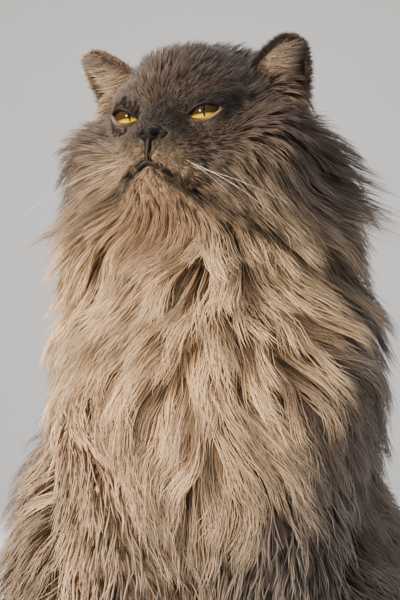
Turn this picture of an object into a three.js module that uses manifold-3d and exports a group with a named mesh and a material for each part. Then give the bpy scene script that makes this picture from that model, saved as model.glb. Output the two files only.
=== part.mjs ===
// A long-haired Persian cat sitting upright, life size. Millimetres, +Z up, the body faces -Y, its left side is +X.
// The origin is on the floor, near the middle of the flat that the rump rests on.
import * as THREE from "three";
import { mergeVertices } from "three/addons/utils/BufferGeometryUtils.js";
import Module from "manifold-3d";

const wasm = await Module();
wasm.setup();
const { Manifold, Mesh } = wasm;

// Driving dimensions
const HEAD_HEIGHT = 327; // the middle of the skull above the floor
const HEAD_FORWARD = 88; // and in front of the seat
const HEAD_SIDE = 3.5;
const HEAD_YAW = 25; // degrees, towards the cat's right
const HEAD_PITCH = -2.7; // degrees, up is positive
const HEAD_ROLL = 7.2;
const BODY_YAW = 2; // degrees, towards the cat's right
const GAP = 0.35; // between solids that touch
const CORE_SHARE = 0.5; // of the coat's depth that the cores take up
const FLOOR_HAIR = 4; // how far above the floor the middle of a lock may lie
const ROOT_DEPTH = 4; // of a lock below the core's surface

const EYE_SPREAD = 20.8;
const EYE_FORWARD = 24.5;
const EYE_RADIUS = 10.5;
const EYE_UP = 2.6;
const CORNEA = 1.2; // how far it bulges
const LID = 1.7; // thickness of the eyelids
const LID_OPENING = { width: 17.5, above: 3, below: 3.8, slant: 15 };
const EAR = { width: 36, depth: 12, wall: 1.8 };
const EAR_PLACES = {
  left: { base: [40, 9, 17], tip: [58, -5, 45] },
  right: { base: [-42, 8, 19], tip: [-61, -9, 45] },
};
const SHORT_HAIR = 1.5; // the coat's depth round the nose and the eyes
const NOSE_REACH = [8, 62]; // from the nose: where the hair starts to lengthen, and where it is full
const EYE_REACH = [12, 40];

const rad = THREE.MathUtils.degToRad;
const vec = (x, y, z) => new THREE.Vector3(x, y, z);
const mix = THREE.MathUtils.lerp;
const random = (() => {
  let state = 20240517;
  return () => {
    state = (state * 1664525 + 1013904223) % 4294967296;
    return state / 4294967296;
  };
})();
const spread = (half) => (2 * random() - 1) * half;

const bodyFrame = new THREE.Matrix4().makeRotationZ(-rad(BODY_YAW));
const headFrame = new THREE.Matrix4()
  .makeRotationFromEuler(new THREE.Euler(-rad(HEAD_PITCH), rad(HEAD_ROLL), -rad(HEAD_YAW), "ZXY"))
  .setPosition(HEAD_SIDE, -HEAD_FORWARD, HEAD_HEIGHT);

// One rounded mass of flesh: its middle and half sizes, tilted about its own X, under a coat of the given depth.
function mass(frame, at, half, coat, tilt = 0, lean = 0) {
  const local = new THREE.Matrix4()
    .makeRotationFromEuler(new THREE.Euler(rad(tilt), rad(lean), 0))
    .setPosition(...at);
  const matrix = frame.clone().multiply(local);
  return { matrix, inverse: matrix.clone().invert(), half: vec(...half), coat };
}

function limb(frame, points, coat) {
  return points.slice(1).map((end, i) => {
    const start = points[i];
    const a = vec(...start).applyMatrix4(frame);
    const b = vec(...end).applyMatrix4(frame);
    return { a, b, ra: start[3], rb: end[3], coat };
  });
}

const body = (...sizes) => mass(bodyFrame, ...sizes);
const head = (...sizes) => mass(headFrame, ...sizes);

function side(s) {
  return {
    thigh: [
      body([s * 62, 0, 66], [37, 62, 60], 24, 14),
      body([s * 60, -30, 44], [32, 40, 40], 22),
    ],
    hock: [
      body([s * 64, -58, 15], [15, 30, 14], 7),
      body([s * 63, -78, 13], [16, 18, 12], 5),
      ...[-9, -3, 3, 9].map((x) => body([s * 63 + x, -93 + Math.abs(x) * 0.5, 9], [5, 8, 8], 3)),
    ],
    foreleg: limb(
      bodyFrame,
      [
        [s * 34, -78, 168, 27],
        [s * 30, -88, 110, 21],
        [s * 28, -98, 62, 16],
        [s * 27, -104, 30, 14],
      ],
      17,
    ),
    paw: [
      body([s * 27, -110, 16], [16, 19, 15], 6),
      ...[-10, -3.5, 3.5, 10].map((x) => body([s * 27 + x, -126 + Math.abs(x) * 0.6, 10], [5.5, 9, 9], 3)),
    ],
  };
}

const leftSide = side(1);
const rightSide = side(-1);

const TAIL_PATH = [
  [4, 72, 36, 15],
  [30, 104, 32, 14],
  [72, 108, 30, 13],
  [108, 80, 29, 13],
  [126, 34, 28, 12],
  [126, -18, 27, 11],
  [112, -62, 25, 9],
];
const TAIL_COAT = 20;

const flesh = {
  head: [
    head([0, 8, 4], [36, 38, 32], 10),
    head([0, -12, 15], [25, 20, 16], 10),
    head([19, -20, 12], [14, 11, 7], 7),
    head([-19, -20, 12], [14, 11, 7], 7),
    head([26, -8, -12], [22, 22, 20], 24),
    head([-25, -8, -14], [22, 22, 19], 22),
    head([39, 9, 14], [12, 11, 12], 7),
    head([-39, 9, 14], [12, 11, 12], 7),
    head([0, -26, -14], [20, 16, 13], 6),
    head([8.5, -36, -19], [10.5, 9, 8.5], 6),
    head([-8.5, -36, -19], [10.5, 9, 8.5], 6),
    head([0, -31, -3], [7.5, 10, 8], 4),
  ],
  jaw: [head([0, -30, -31], [13, 12, 9], 12)],
  nose: [
    head([0, -43, -10], [5.5, 6, 4.5], 0),
    head([4.4, -42, -11], [3.6, 5, 3.3], 0),
    head([-4.4, -42, -11], [3.6, 5, 3.3], 0),
    head([0, -42.5, -16], [2.2, 4, 4.5], 0),
  ],
  neck: [
    body([10, -52, 268], [50, 44, 46], 34, 12),
    body([12, -78, 268], [38, 30, 34], 32),
    body([34, -50, 306], [26, 26, 24], 34),
  ],
  torso: [
    body([0, 3, 66], [64, 64, 72], 26),
    body([-4, -8, 112], [80, 60, 76], 30),
    body([8, -32, 166], [60, 54, 82], 32, 20),
    body([12, -80, 180], [42, 34, 60], 32),
    body([41, -58, 200], [28, 34, 48], 32),
    body([-16, -58, 194], [28, 34, 44], 32),
  ],
  thigh_left: leftSide.thigh,
  thigh_right: rightSide.thigh,
  hind_foot_left: leftSide.hock,
  hind_foot_right: rightSide.hock,
  foreleg_left: leftSide.foreleg,
  foreleg_right: rightSide.foreleg,
  forepaw_left: leftSide.paw,
  forepaw_right: rightSide.paw,
  tail_root: limb(bodyFrame, TAIL_PATH.slice(0, 3), TAIL_COAT),
  tail_middle: limb(bodyFrame, TAIL_PATH.slice(2, 5), TAIL_COAT),
  tail_tip: limb(bodyFrame, TAIL_PATH.slice(4), TAIL_COAT),
};
const BLEND = { head: 3.5, jaw: 3, nose: 1, hind_foot_left: 2, hind_foot_right: 2, forepaw_left: 2, forepaw_right: 2 };
const BODY_BLEND = 7;

const noseTip = vec(0, -47, -9).applyMatrix4(headFrame);
const eyeMiddles = [1, -1].map((s) => vec(s * EYE_SPREAD, -EYE_FORWARD, EYE_UP).applyMatrix4(headFrame));
const scratch = vec(0, 0, 0);
const scratchSquare = vec(0, 0, 0);

// How far a point is outside one mass of flesh, negative inside it.
function distanceTo(part, p) {
  if (part.half) {
    scratch.copy(p).applyMatrix4(part.inverse).divide(part.half);
    const k = Math.max(scratch.length(), 1e-4);
    const slope = Math.max(scratchSquare.copy(scratch).divide(part.half).length(), 1e-6);
    return (k * (k - 1)) / slope;
  }
  const along = scratch.copy(part.b).sub(part.a);
  const t = THREE.MathUtils.clamp(
    scratchSquare.copy(p).sub(part.a).dot(along) / along.lengthSq(),
    0,
    1,
  );
  return scratchSquare.copy(part.a).addScaledVector(along, t).distanceTo(p) - mix(part.ra, part.rb, t);
}

// The soft union of some masses: the distance to the skin, and the coat's depth there.
function skinAt(p, parts, blend) {
  const found = parts.map((part) => distanceTo(part, p));
  const nearest = Math.min(...found);
  let total = 0;
  let coat = 0;
  found.forEach((d, i) => {
    const weight = Math.exp((nearest - d) / blend);
    total += weight;
    coat += weight * parts[i].coat;
  });
  const full = coat / total;
  const lengths = [
    THREE.MathUtils.smoothstep(p.distanceTo(noseTip), ...NOSE_REACH),
    ...eyeMiddles.map((eye) => THREE.MathUtils.smoothstep(p.distanceTo(eye), ...EYE_REACH)),
  ];
  const coatThere = full > SHORT_HAIR ? mix(SHORT_HAIR, full, Math.min(...lengths)) : full;
  return { distance: nearest - blend * Math.log(total), coat: coatThere };
}

const allFlesh = Object.values(flesh).flat();
const wholeSkin = (p) => skinAt(p, allFlesh, BODY_BLEND);
const nodeSkin = (node) => (p) => skinAt(p, flesh[node], BLEND[node] ?? BODY_BLEND);

function outward(field, p) {
  const step = 0.6;
  return vec(
    field(vec(p.x + step, p.y, p.z)).distance - field(vec(p.x - step, p.y, p.z)).distance,
    field(vec(p.x, p.y + step, p.z)).distance - field(vec(p.x, p.y - step, p.z)).distance,
    field(vec(p.x, p.y, p.z + step)).distance - field(vec(p.x, p.y, p.z - step)).distance,
  ).normalize();
}

// The way from a middle outwards to where a node's core ends.
function coreReach(field, middle, direction, grow) {
  const level = (p) => {
    const s = field(p);
    return s.distance - CORE_SHARE * s.coat - grow;
  };
  const at = (r) => middle.clone().addScaledVector(direction, r);
  let far = 170;
  while (far > 2 && level(at(far)) > 0) far -= 3;
  let [low, high] = [far, far + 3];
  for (let i = 0; i < 14; i++) {
    const r = (low + high) / 2;
    if (level(at(r)) > 0) high = r;
    else low = r;
  }
  return (low + high) / 2;
}

function solid(geometry) {
  const bare = geometry.clone();
  bare.deleteAttribute("normal");
  bare.deleteAttribute("uv");
  const merged = mergeVertices(bare, 1e-3);
  return new Manifold(
    new Mesh({
      numProp: 3,
      vertProperties: merged.attributes.position.array,
      triVerts: new Uint32Array(merged.index.array),
    }),
  );
}

function reshape(geometry, place) {
  const position = geometry.attributes.position;
  const p = vec(0, 0, 0);
  for (let i = 0; i < position.count; i++) {
    p.fromBufferAttribute(position, i);
    const moved = place(p);
    position.setXYZ(i, moved.x, moved.y, moved.z);
  }
  return geometry;
}

// A node's core: a sphere whose points are pushed out to the coat's half depth.
const CORES = {
  head: { frame: headFrame, at: [0, -4, 2], poles: [0, 1, 0], around: 24, along: 15 },
  jaw: { frame: headFrame, at: [0, -30, -31], poles: [0, 1, 0], around: 14, along: 8 },
  nose: { frame: headFrame, at: [0, -40, -11.5], poles: [0, 1, 0], around: 14, along: 8 },
  neck: { frame: bodyFrame, at: [3, -64, 264], poles: [0, 0, 1], around: 16, along: 10 },
  torso: { frame: bodyFrame, at: [0, -28, 130], poles: [0, 0, 1], around: 16, along: 12 },
  thigh_left: { frame: bodyFrame, at: [60, -10, 58], poles: [0, 0, 1], around: 14, along: 10 },
  thigh_right: { frame: bodyFrame, at: [-60, -10, 58], poles: [0, 0, 1], around: 14, along: 10 },
  hind_foot_left: { frame: bodyFrame, at: [63, -72, 13], poles: [0, 1, 0], around: 16, along: 9 },
  hind_foot_right: { frame: bodyFrame, at: [-63, -72, 13], poles: [0, 1, 0], around: 16, along: 9 },
  forepaw_left: { frame: bodyFrame, at: [27, -114, 14], poles: [0, 1, 0], around: 16, along: 9 },
  forepaw_right: { frame: bodyFrame, at: [-27, -114, 14], poles: [0, 1, 0], around: 16, along: 9 },
};

function roundCore(node, grow) {
  const { frame, at, poles, around, along } = CORES[node];
  const middle = vec(...at).applyMatrix4(frame);
  const turn = new THREE.Matrix4().makeRotationFromQuaternion(
    new THREE.Quaternion().setFromUnitVectors(vec(0, 1, 0), vec(...poles)),
  );
  const axes = new THREE.Matrix4().extractRotation(frame).multiply(turn);
  const field = nodeSkin(node);
  return solid(
    reshape(new THREE.SphereGeometry(1, around, along), (p) => {
      const direction = p.clone().applyMatrix4(axes).normalize();
      return middle.clone().addScaledVector(direction, coreReach(field, middle, direction, grow));
    }),
  );
}

// A limb's core: a capsule bent along the limb's own line.
function limbCore(node, grow, around) {
  const parts = flesh[node];
  const points = [parts[0].a, ...parts.map((part) => part.b)];
  const radii = [parts[0].ra, ...parts.map((part) => part.rb)];
  const line = new THREE.CatmullRomCurve3(points);
  const width = parts[0].coat * CORE_SHARE + grow;
  const rows = 3 * parts.length;
  const domes = 2;
  const geometry = new THREE.SphereGeometry(1, around, rows + 2 * domes);
  const last = points.length - 1;
  const uv = geometry.attributes.uv;
  let index = 0;
  return solid(
    reshape(geometry, (p) => {
      const row = Math.round((1 - uv.getY(index++)) * (rows + 2 * domes));
      const t = THREE.MathUtils.clamp((row - domes) / rows, 0, 1);
      const k = Math.min(Math.floor(t * last), last - 1);
      const radius = mix(radii[k], radii[k + 1], t * last - k) + width;
      const beyond = (row < domes ? row - domes : Math.max(row - domes - rows, 0)) / domes;
      const tangent = line.getTangent(t);
      const across = vec(0, 0, 1);
      if (Math.abs(tangent.z) > 0.7) across.set(0, 1, 0);
      const u = across.clone().cross(tangent).normalize();
      const v = tangent.clone().cross(u).normalize();
      const turn = Math.atan2(p.z, p.x);
      const ring = radius * Math.cos((beyond * Math.PI) / 2);
      return line
        .getPoint(t)
        .addScaledVector(tangent, radius * Math.sin((beyond * Math.PI) / 2))
        .addScaledVector(u, -ring * Math.cos(turn))
        .addScaledVector(v, -ring * Math.sin(turn));
    }),
  );
}

function core(node, grow) {
  if (node in CORES) return roundCore(node, grow);
  return limbCore(node, grow, 10);
}

// The way the coat lies: a direction at each point, made tangent to the skin later.
const CHIN = vec(0, -24, -30).applyMatrix4(headFrame);
const toWorld = (x, y, z) => vec(x, y, z).transformDirection(headFrame);

function faceLie(p) {
  return p.clone().sub(noseTip).normalize().add(toWorld(0, 0.5, -0.15));
}

function ruffLie(p) {
  return p.clone().sub(CHIN).normalize().add(vec(0, 0, -0.9));
}

function bodyLie(p) {
  const front = THREE.MathUtils.smoothstep(-p.y, 10, 60);
  return vec(front * 0.022 * (p.x - 8), 0.3 * (1 - front), -1);
}

function tailLie(p) {
  const along = tailLine.getTangent(nearestOnTail(p));
  return along.add(vec(0, 0, -0.1));
}

const tailLine = new THREE.CatmullRomCurve3(TAIL_PATH.map(([x, y, z]) => vec(x, y, z).applyMatrix4(bodyFrame)));
const TAIL_STEPS = 30;

function nearestOnTail(p) {
  let best = 0;
  for (let i = 1; i <= TAIL_STEPS; i++)
    if (tailLine.getPoint(i / TAIL_STEPS).distanceTo(p) < tailLine.getPoint(best / TAIL_STEPS).distanceTo(p))
      best = i;
  return best / TAIL_STEPS;
}

const thighLie = () => vec(0, 0.4, -1);
const legLie = () => vec(0, -0.12, -1);

// The locks of each node: how many are tried, their size, and their lie.
const LOCKS = {
  head: { tried: 54, length: 24, width: 11, thickness: 3.6, lie: faceLie },
  jaw: { tried: 24, length: 15, width: 8, thickness: 3, lie: ruffLie },
  neck: { tried: 82, length: 58, width: 25, thickness: 6.5, lie: ruffLie },
  torso: { tried: 98, length: 66, width: 29, thickness: 7.5, lie: bodyLie },
  thigh: { tried: 48, length: 54, width: 26, thickness: 7, lie: thighLie },
  foreleg: { tried: 22, length: 40, width: 17, thickness: 5, lie: legLie },
  tail: { tried: 17, length: 42, width: 17, thickness: 5.5, lie: tailLie },
};
const LOCK_STEPS = 5;
const SUPPLE = 0.6; // how far a lock turns at each step towards the coat's own lie
const LIFT = 6; // the most that it climbs in one
const LEAST_STEP = 1; // of an edge of a lock, from one row to the next
const EAR_CLEAR = 19; // how far a lock stays from the middle line of an ear

const earLines = Object.values(EAR_PLACES).map(({ base, tip }) => {
  return new THREE.Line3(vec(...base).applyMatrix4(headFrame), vec(...tip).applyMatrix4(headFrame));
});

function byEar(p) {
  return earLines.some((line) => line.closestPointToPoint(p, true, vec(0, 0, 0)).distanceTo(p) < EAR_CLEAR);
}

// A lock's line: from its root in the core it climbs along the lie till its tip is at the coat's full depth.
// One that would have to kink or fold, or would run through an ear, isn't grown.
function planLock(root, size) {
  const length = size.length * (1 + spread(0.18));
  const reach = 1 + spread(0.1);
  const turn = spread(0.25);
  const up = outward(wholeSkin, root);
  const at = root.clone().addScaledVector(up, -ROOT_DEPTH);
  const start = wholeSkin(at).distance;
  const way = vec(0, 0, 0);
  const stations = [];
  for (let i = 0; i <= LOCK_STEPS; i++) {
    const t = i / LOCK_STEPS;
    const here = wholeSkin(at);
    const lifted = mix(start, here.coat * reach, 1 - (1 - t) ** 1.6) - here.distance;
    const before = up.clone();
    up.lerp(outward(wholeSkin, at), SUPPLE).normalize();
    if (i > 0) at.addScaledVector(up, THREE.MathUtils.clamp(lifted, -LIFT, LIFT));
    at.z = Math.max(at.z, FLOOR_HAIR);
    const lie = size.lie(at);
    lie.addScaledVector(up, -lie.dot(up)).normalize();
    lie.applyAxisAngle(up, turn * (1 - 2 * t));
    way.lerp(lie, i > 0 ? SUPPLE : 1);
    way.addScaledVector(up, -way.dot(up)).normalize();
    const step = i > 0 ? at.clone().sub(stations[i - 1].at) : way;
    const straight = i > 0 ? step.clone().normalize().dot(stations[i - 1].way) : 1;
    if (up.dot(before) < 0.81 || straight < 0.65 || byEar(at)) return null;
    stations.push({ at: at.clone(), way: way.clone(), up: up.clone() });
    at.addScaledVector(way, length / LOCK_STEPS);
  }
  const plan = { stations, width: size.width * (1 + spread(0.2)), thickness: size.thickness };
  return folds(plan) ? null : plan;
}

// A point of a lock: narrow at the root, widest before the middle, and pointed, flat below and ridged above.
function lockPoint({ stations, width, thickness }, row, u, v, grow) {
  const { at, way, up } = stations[row];
  if (row === LOCK_STEPS) return at.clone().addScaledVector(way, 4 * grow);
  const t = row / LOCK_STEPS;
  const swell = Math.min(0.55 + 1.5 * t, 1) * Math.min(1.75 * (1 - t), 1) ** 0.8;
  return at
    .clone()
    .addScaledVector(way.clone().cross(up), u * ((width / 2) * swell + 5 * grow))
    .addScaledVector(up, v * ((thickness / 2) * swell + 2 * grow))
    .addScaledVector(way, row === 0 ? -grow : 0);
}

// Whether one of its three edges runs back on itself.
function folds(plan) {
  const edges = [0, 1, 2].map((i) => [Math.sin((i * 2 * Math.PI) / 3), Math.cos((i * 2 * Math.PI) / 3)]);
  return edges.some(([u, v]) =>
    plan.stations.slice(1).some((station, row) => {
      const edge = lockPoint(plan, row + 1, u, v, GAP).sub(lockPoint(plan, row, u, v, GAP));
      return Math.min(edge.dot(station.way), edge.dot(plan.stations[row].way)) < LEAST_STEP;
    }),
  );
}

function lock(plan, grow) {
  return solid(
    reshape(new THREE.ConeGeometry(1, 1, 3, LOCK_STEPS), (p) => {
      const t = p.y + 0.5;
      const left = Math.max(1 - t, 1e-6);
      return lockPoint(plan, Math.round(t * LOCK_STEPS), p.x / left, p.z / left, grow);
    }),
  );
}

// Where the locks of a node grow: even over its core, but not where another node's core is close.
function planLocks(node) {
  const size = LOCKS[node.split("_")[0]];
  if (!size) return [];
  const field = nodeSkin(node);
  const others = Object.keys(flesh).filter((other) => other !== node);
  const crowded = (p) =>
    others.some((other) => {
      const s = nodeSkin(other)(p);
      return s.distance - CORE_SHARE * s.coat < 2;
    });
  const planned = [];
  for (const [middle, direction] of rootRays(node, size.tried)) {
    const p = middle.clone().addScaledVector(direction, coreReach(field, middle, direction, 0));
    const bare = wholeSkin(p).coat < 7;
    if (!bare && p.z > FLOOR_HAIR && !crowded(p)) planned.push(planLock(p, size));
  }
  return planned.filter(Boolean);
}

function rootRays(node, count) {
  if (node in CORES) {
    const { frame, at } = CORES[node];
    const middle = vec(...at).applyMatrix4(frame);
    return Array.from({ length: count }, (_, i) => {
      const height = 1 - (2 * i + 1) / count;
      const turn = i * 2.399963 + spread(0.15);
      const ring = Math.sqrt(1 - height * height);
      return [middle, vec(ring * Math.cos(turn), ring * Math.sin(turn), height)];
    });
  }
  const parts = flesh[node];
  const line = new THREE.CatmullRomCurve3([parts[0].a, ...parts.map((part) => part.b)]);
  return Array.from({ length: count }, (_, i) => {
    const t = (i + 0.5) / count;
    const tangent = line.getTangent(t);
    const across = vec(0, 0, 1).cross(tangent);
    if (across.length() < 0.5) across.set(1, 0, 0);
    across.addScaledVector(tangent, -across.dot(tangent)).normalize();
    return [line.getPoint(t), across.applyAxisAngle(tangent, i * 2.399963 + spread(0.2))];
  });
}

// An eye's own frame: out of the pupil is its -Y, and its X points to the cat's left.
function eyeFrame(s) {
  return headFrame
    .clone()
    .multiply(new THREE.Matrix4().makeTranslation(s * EYE_SPREAD, -EYE_FORWARD, EYE_UP))
    .multiply(new THREE.Matrix4().makeRotationZ(s * rad(12)));
}

function eyeball(s, grow) {
  const frame = eyeFrame(s);
  return solid(
    reshape(new THREE.SphereGeometry(1, 12, 8).rotateX(Math.PI / 2), (p) => {
      const bulge = CORNEA * Math.max(-p.y, 0) ** 8;
      return p.clone().multiplyScalar(EYE_RADIUS + grow + bulge).applyMatrix4(frame);
    }),
  );
}

// The eyelids are a thicker ball round the eye, with an almond cut through in front.
function lidBall(s) {
  return eyeball(s, LID + GAP);
}

function lidOpening(s) {
  const { width, above, below, slant } = LID_OPENING;
  const depth = 40;
  const almond = new THREE.Shape()
    .moveTo(-width / 2, 0)
    .quadraticCurveTo(0, 2 * above, width / 2, 0)
    .quadraticCurveTo(0, -2 * below, -width / 2, 0);
  const prism = new THREE.ExtrudeGeometry(almond, { depth, bevelEnabled: false, curveSegments: 6 });
  const frame = eyeFrame(s).multiply(new THREE.Matrix4().makeRotationY(-s * rad(slant)));
  return solid(prism.rotateX(Math.PI / 2).applyMatrix4(frame));
}

function nostril(s) {
  const hole = new THREE.SphereGeometry(1, 8, 6).scale(1.5, 3, 1.4).translate(s * 3.4, -46, -11.5);
  return solid(hole.applyMatrix4(headFrame));
}

// A groove along the meeting of the lips: from corner to corner in an upside-down V, and up to the nose.
function lipGroove() {
  const line = new THREE.CatmullRomCurve3(
    [
      [-27, -30.5, -39],
      [-20, -34.5, -36],
      [-13, -43, -31.5],
      [-6, -47, -27],
      [0, -47.5, -24],
      [6, -47, -27],
      [13, -43, -31.5],
      [20, -34.5, -36],
      [27, -30.5, -39],
    ].map((p) => vec(...p).applyMatrix4(headFrame)),
  );
  const lips = roundBar(line, 1.3, 20);
  const cleft = new THREE.LineCurve3(
    vec(0, -47, -16).applyMatrix4(headFrame),
    vec(0, -48, -25).applyMatrix4(headFrame),
  );
  return Manifold.union([lips, roundBar(cleft, 0.9, 2)]);
}

function roundBar(line, radius, steps) {
  const ring = new THREE.Shape().absarc(0, 0, radius, 0, 2 * Math.PI);
  return solid(
    new THREE.ExtrudeGeometry(ring, { extrudePath: line, steps, curveSegments: 3, bevelEnabled: false }),
  );
}

// An ear is a pointed cup: a flattened cone, convex behind, with a smaller one taken out of its front.
function ear(name, grow) {
  const base = vec(...EAR_PLACES[name].base);
  const tip = vec(...EAR_PLACES[name].tip);
  const length = tip.distanceTo(base);
  const rise = tip.clone().sub(base).normalize();
  const facing = vec(SIDES[name] * 0.45, -0.85, 0.1);
  const across = facing.clone().cross(rise).normalize();
  const behind = across.clone().cross(rise).normalize();
  const cup = (inset, front) =>
    solid(
      reshape(new THREE.ConeGeometry(1, 1, 16, 6), (p) => {
        const left = Math.max(0.5 - p.y, 1e-6);
        const t = 1 - left ** 2;
        const [u, v] = [p.x / left, p.z / left];
        const swell = left ** 0.9;
        const halfWidth = (EAR.width / 2 - inset) * swell;
        const depth = v > 0 ? (EAR.depth - inset) * swell : front;
        return base
          .clone()
          .addScaledVector(rise, t * (length + 2 * grow - 2 * Math.max(inset, 0)))
          .addScaledVector(across, u * halfWidth)
          .addScaledVector(behind, v * depth)
          .applyMatrix4(headFrame);
      }),
    );
  const shell = cup(-grow, 1.2 + grow);
  return grow > 0 ? shell : shell.subtract(cup(EAR.wall, 24));
}

const SIDES = { left: 1, right: -1 };

const plans = Object.fromEntries(Object.keys(flesh).map((node) => [node, planLocks(node)]));

function haired(node, grow) {
  return Manifold.union([core(node, grow), ...plans[node].map((plan) => lock(plan, grow))]);
}

const noseLeather = () => core("nose", 0).subtract(Manifold.union([nostril(1), nostril(-1)]));

// Each node in turn, by how it is made at a given growth. A later node gives way to an earlier one.
const makers = { nose: (grow) => (grow > 0 ? core("nose", grow) : noseLeather()) };
for (const [name, s] of Object.entries(SIDES)) makers[`eye_${name}`] = (grow) => eyeball(s, grow);

makers.head = (grow) => {
  const lidded = Manifold.union([haired("head", grow), lidBall(1), lidBall(-1)]);
  return grow > 0 ? lidded : lidded.subtract(Manifold.union([lidOpening(1), lidOpening(-1), lipGroove()]));
};
makers.jaw = (grow) => (grow > 0 ? haired("jaw", grow) : haired("jaw", 0).subtract(lipGroove()));
for (const name of Object.keys(SIDES)) makers[`ear_${name}`] = (grow) => ear(name, grow);
for (const node of ["neck", "torso"]) makers[node] = (grow) => haired(node, grow);
for (const name of Object.keys(SIDES))
  for (const limbName of ["thigh", "foreleg", "hind_foot", "forepaw"])
    makers[`${limbName}_${name}`] = (grow) => haired(`${limbName}_${name}`, grow);
for (const node of ["tail_root", "tail_middle", "tail_tip"]) makers[node] = (grow) => haired(node, grow);

const FLOOR_DEPTH = 100;
const floor = solid(new THREE.BoxGeometry(1000, 1000, FLOOR_DEPTH).translate(0, 0, -FLOOR_DEPTH / 2));

const COLOURS = { eye: [0xc79a1e, 0.15], nose: [0x2c2b2d, 0.45] };
const FUR = [0x7d6f66, 0.85];

const group = new THREE.Group();
let taken = floor;
for (const [node, make] of Object.entries(makers)) {
  const whole = make(0).subtract(taken);
  const pieces = whole.decompose().sort((a, b) => b.volume() - a.volume());
  const mesh = pieces[0].getMesh();
  const geometry = new THREE.BufferGeometry()
    .setAttribute("position", new THREE.BufferAttribute(mesh.vertProperties, 3))
    .setIndex(new THREE.BufferAttribute(mesh.triVerts, 1));
  const [color, roughness] = COLOURS[node.split("_")[0]] ?? FUR;
  const shown = new THREE.Mesh(geometry, new THREE.MeshStandardMaterial({ color, roughness }));
  shown.name = node;
  group.add(shown);
  taken = Manifold.union([taken, make(GAP), make(0)]);
}

export default group;
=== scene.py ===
"""A sitting long-haired Persian cat, life size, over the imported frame. Sizes in the code are millimetres."""

import math

import bpy
import numpy as np
from bpy.props import FloatProperty, FloatVectorProperty, PointerProperty
from mathutils import Matrix, Vector, kdtree


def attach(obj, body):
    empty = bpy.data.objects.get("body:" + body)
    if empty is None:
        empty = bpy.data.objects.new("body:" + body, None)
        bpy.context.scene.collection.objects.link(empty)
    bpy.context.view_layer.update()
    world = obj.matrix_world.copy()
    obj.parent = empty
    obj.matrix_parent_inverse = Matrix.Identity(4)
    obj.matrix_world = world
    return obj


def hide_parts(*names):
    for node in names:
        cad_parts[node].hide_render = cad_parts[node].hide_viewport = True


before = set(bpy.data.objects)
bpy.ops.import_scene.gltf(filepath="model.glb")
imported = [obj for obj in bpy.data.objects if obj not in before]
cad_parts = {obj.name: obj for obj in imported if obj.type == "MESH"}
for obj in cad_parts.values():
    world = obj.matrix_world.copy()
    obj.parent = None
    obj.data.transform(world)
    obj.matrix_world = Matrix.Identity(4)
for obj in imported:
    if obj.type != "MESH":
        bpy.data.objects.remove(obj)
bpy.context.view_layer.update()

bl_info = {
    "name": "Sitting Persian cat",
    "version": (1, 0, 0),
    "blender": (4, 5, 0),
    "location": "3D View > Sidebar > Cat",
    "description": "Builds a still, life-size Persian cat: skin, coat, face and studio",
    "category": "Object",
}

MM = 0.001
SIDES = {1: "left", -1: "right"}
LIMBS = ("thigh", "foreleg", "hind_foot", "forepaw")
FLESH_NODES = ["head", "jaw", "neck", "torso", "ear_left", "ear_right"]
FLESH_NODES += [f"{limb}_{side}" for side in SIDES.values() for limb in LIMBS]
FLESH_NODES += ["tail_root", "tail_middle", "tail_tip"]

# The pose, the same as the solids'
HEAD_AT = (3.5, -88.0, 327.0)
HEAD_YAW, HEAD_PITCH, HEAD_ROLL, BODY_YAW, EYE_YAW = 25.0, -2.7, 7.2, 2.0, 12.0  # degrees
EYE_SPREAD, EYE_FORWARD, EYE_UP, EYE_RADIUS = 20.8, 24.5, 2.6, 10.5
CORNEA = 1.2  # how far it stands out
LID = 1.7  # a lid's thickness
OPENING = {"width": 17.5, "above": 3.0, "below": 3.8}
SLANT = math.radians(15.0)
SOCKET = 24  # how far round an eye the skin is shaped for it
GAZE = (-0.206, -0.967, -0.148)
SHORT_HAIR = 1.5
NOSE_REACH = (8.0, 62.0)
EYE_REACH = (12.0, 40.0)
SKIN_SHARE = 0.42  # of the coat's depth: where the skin lies under the hair
FLOOR = 0.6
ACROSS_NODES = 6.0  # how softly the parts run together
EAR_WIDTH, EAR_DEPTH, EAR_WALL = 36.0, 12.0, 1.8
EARS = {1: {"base": (40, 9, 17), "tip": (58, -5, 45)}, -1: {"base": (-42, 8, 19), "tip": (-61, -9, 45)}}


def about(axis, angle):
    """A turn about the x, y or z axis."""
    c, s = math.cos(angle), math.sin(angle)
    return np.roll([[1, 0, 0], [0, c, -s], [0, s, c]], "xyz".index(axis), (0, 1))


def place(turn, at):
    """A 4 by 4 matrix from a turn and a place."""
    matrix = np.eye(4)
    matrix[:3, :3] = turn
    matrix[:3, 3] = at
    return matrix


def carry(matrix, points):
    """Points moved by a matrix."""
    return np.asarray(points, float) @ matrix[:3, :3].T + matrix[:3, 3]


def unit(v):
    return v / np.maximum(np.linalg.norm(v, axis=-1, keepdims=True), 1e-9)


def smooth(x, low, high):
    t = np.clip((x - low) / (high - low), 0, 1)
    return t * t * (3 - 2 * t)


def length(v):
    return np.linalg.norm(v, axis=-1)


def fade(x, radius, power=4):
    """1 in the middle, gone past the radius."""
    return np.exp(-((x / radius) ** power))


def patch(q, middle, shape, radius, power=4):
    """A soft round patch, stretched by a shape."""
    return fade(length((q - middle) / shape), radius, power)


HEAD = place(
    about("z", -math.radians(HEAD_YAW)) @ about("x", -math.radians(HEAD_PITCH)) @ about("y", math.radians(HEAD_ROLL)),
    HEAD_AT,
)
HEAD_TURN = HEAD[:3, :3]
HEAD_BACK = np.linalg.inv(HEAD)
BODY = place(about("z", -math.radians(BODY_YAW)), (0, 0, 0))


def ball(home, at, half, coat, tilt=0.0):
    """A rounded mass of flesh under a coat of the given depth."""
    matrix = home @ place(about("x", math.radians(tilt)), at)
    return {"matrix": matrix, "back": np.linalg.inv(matrix), "half": np.array(half, float), "coat": coat}


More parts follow.
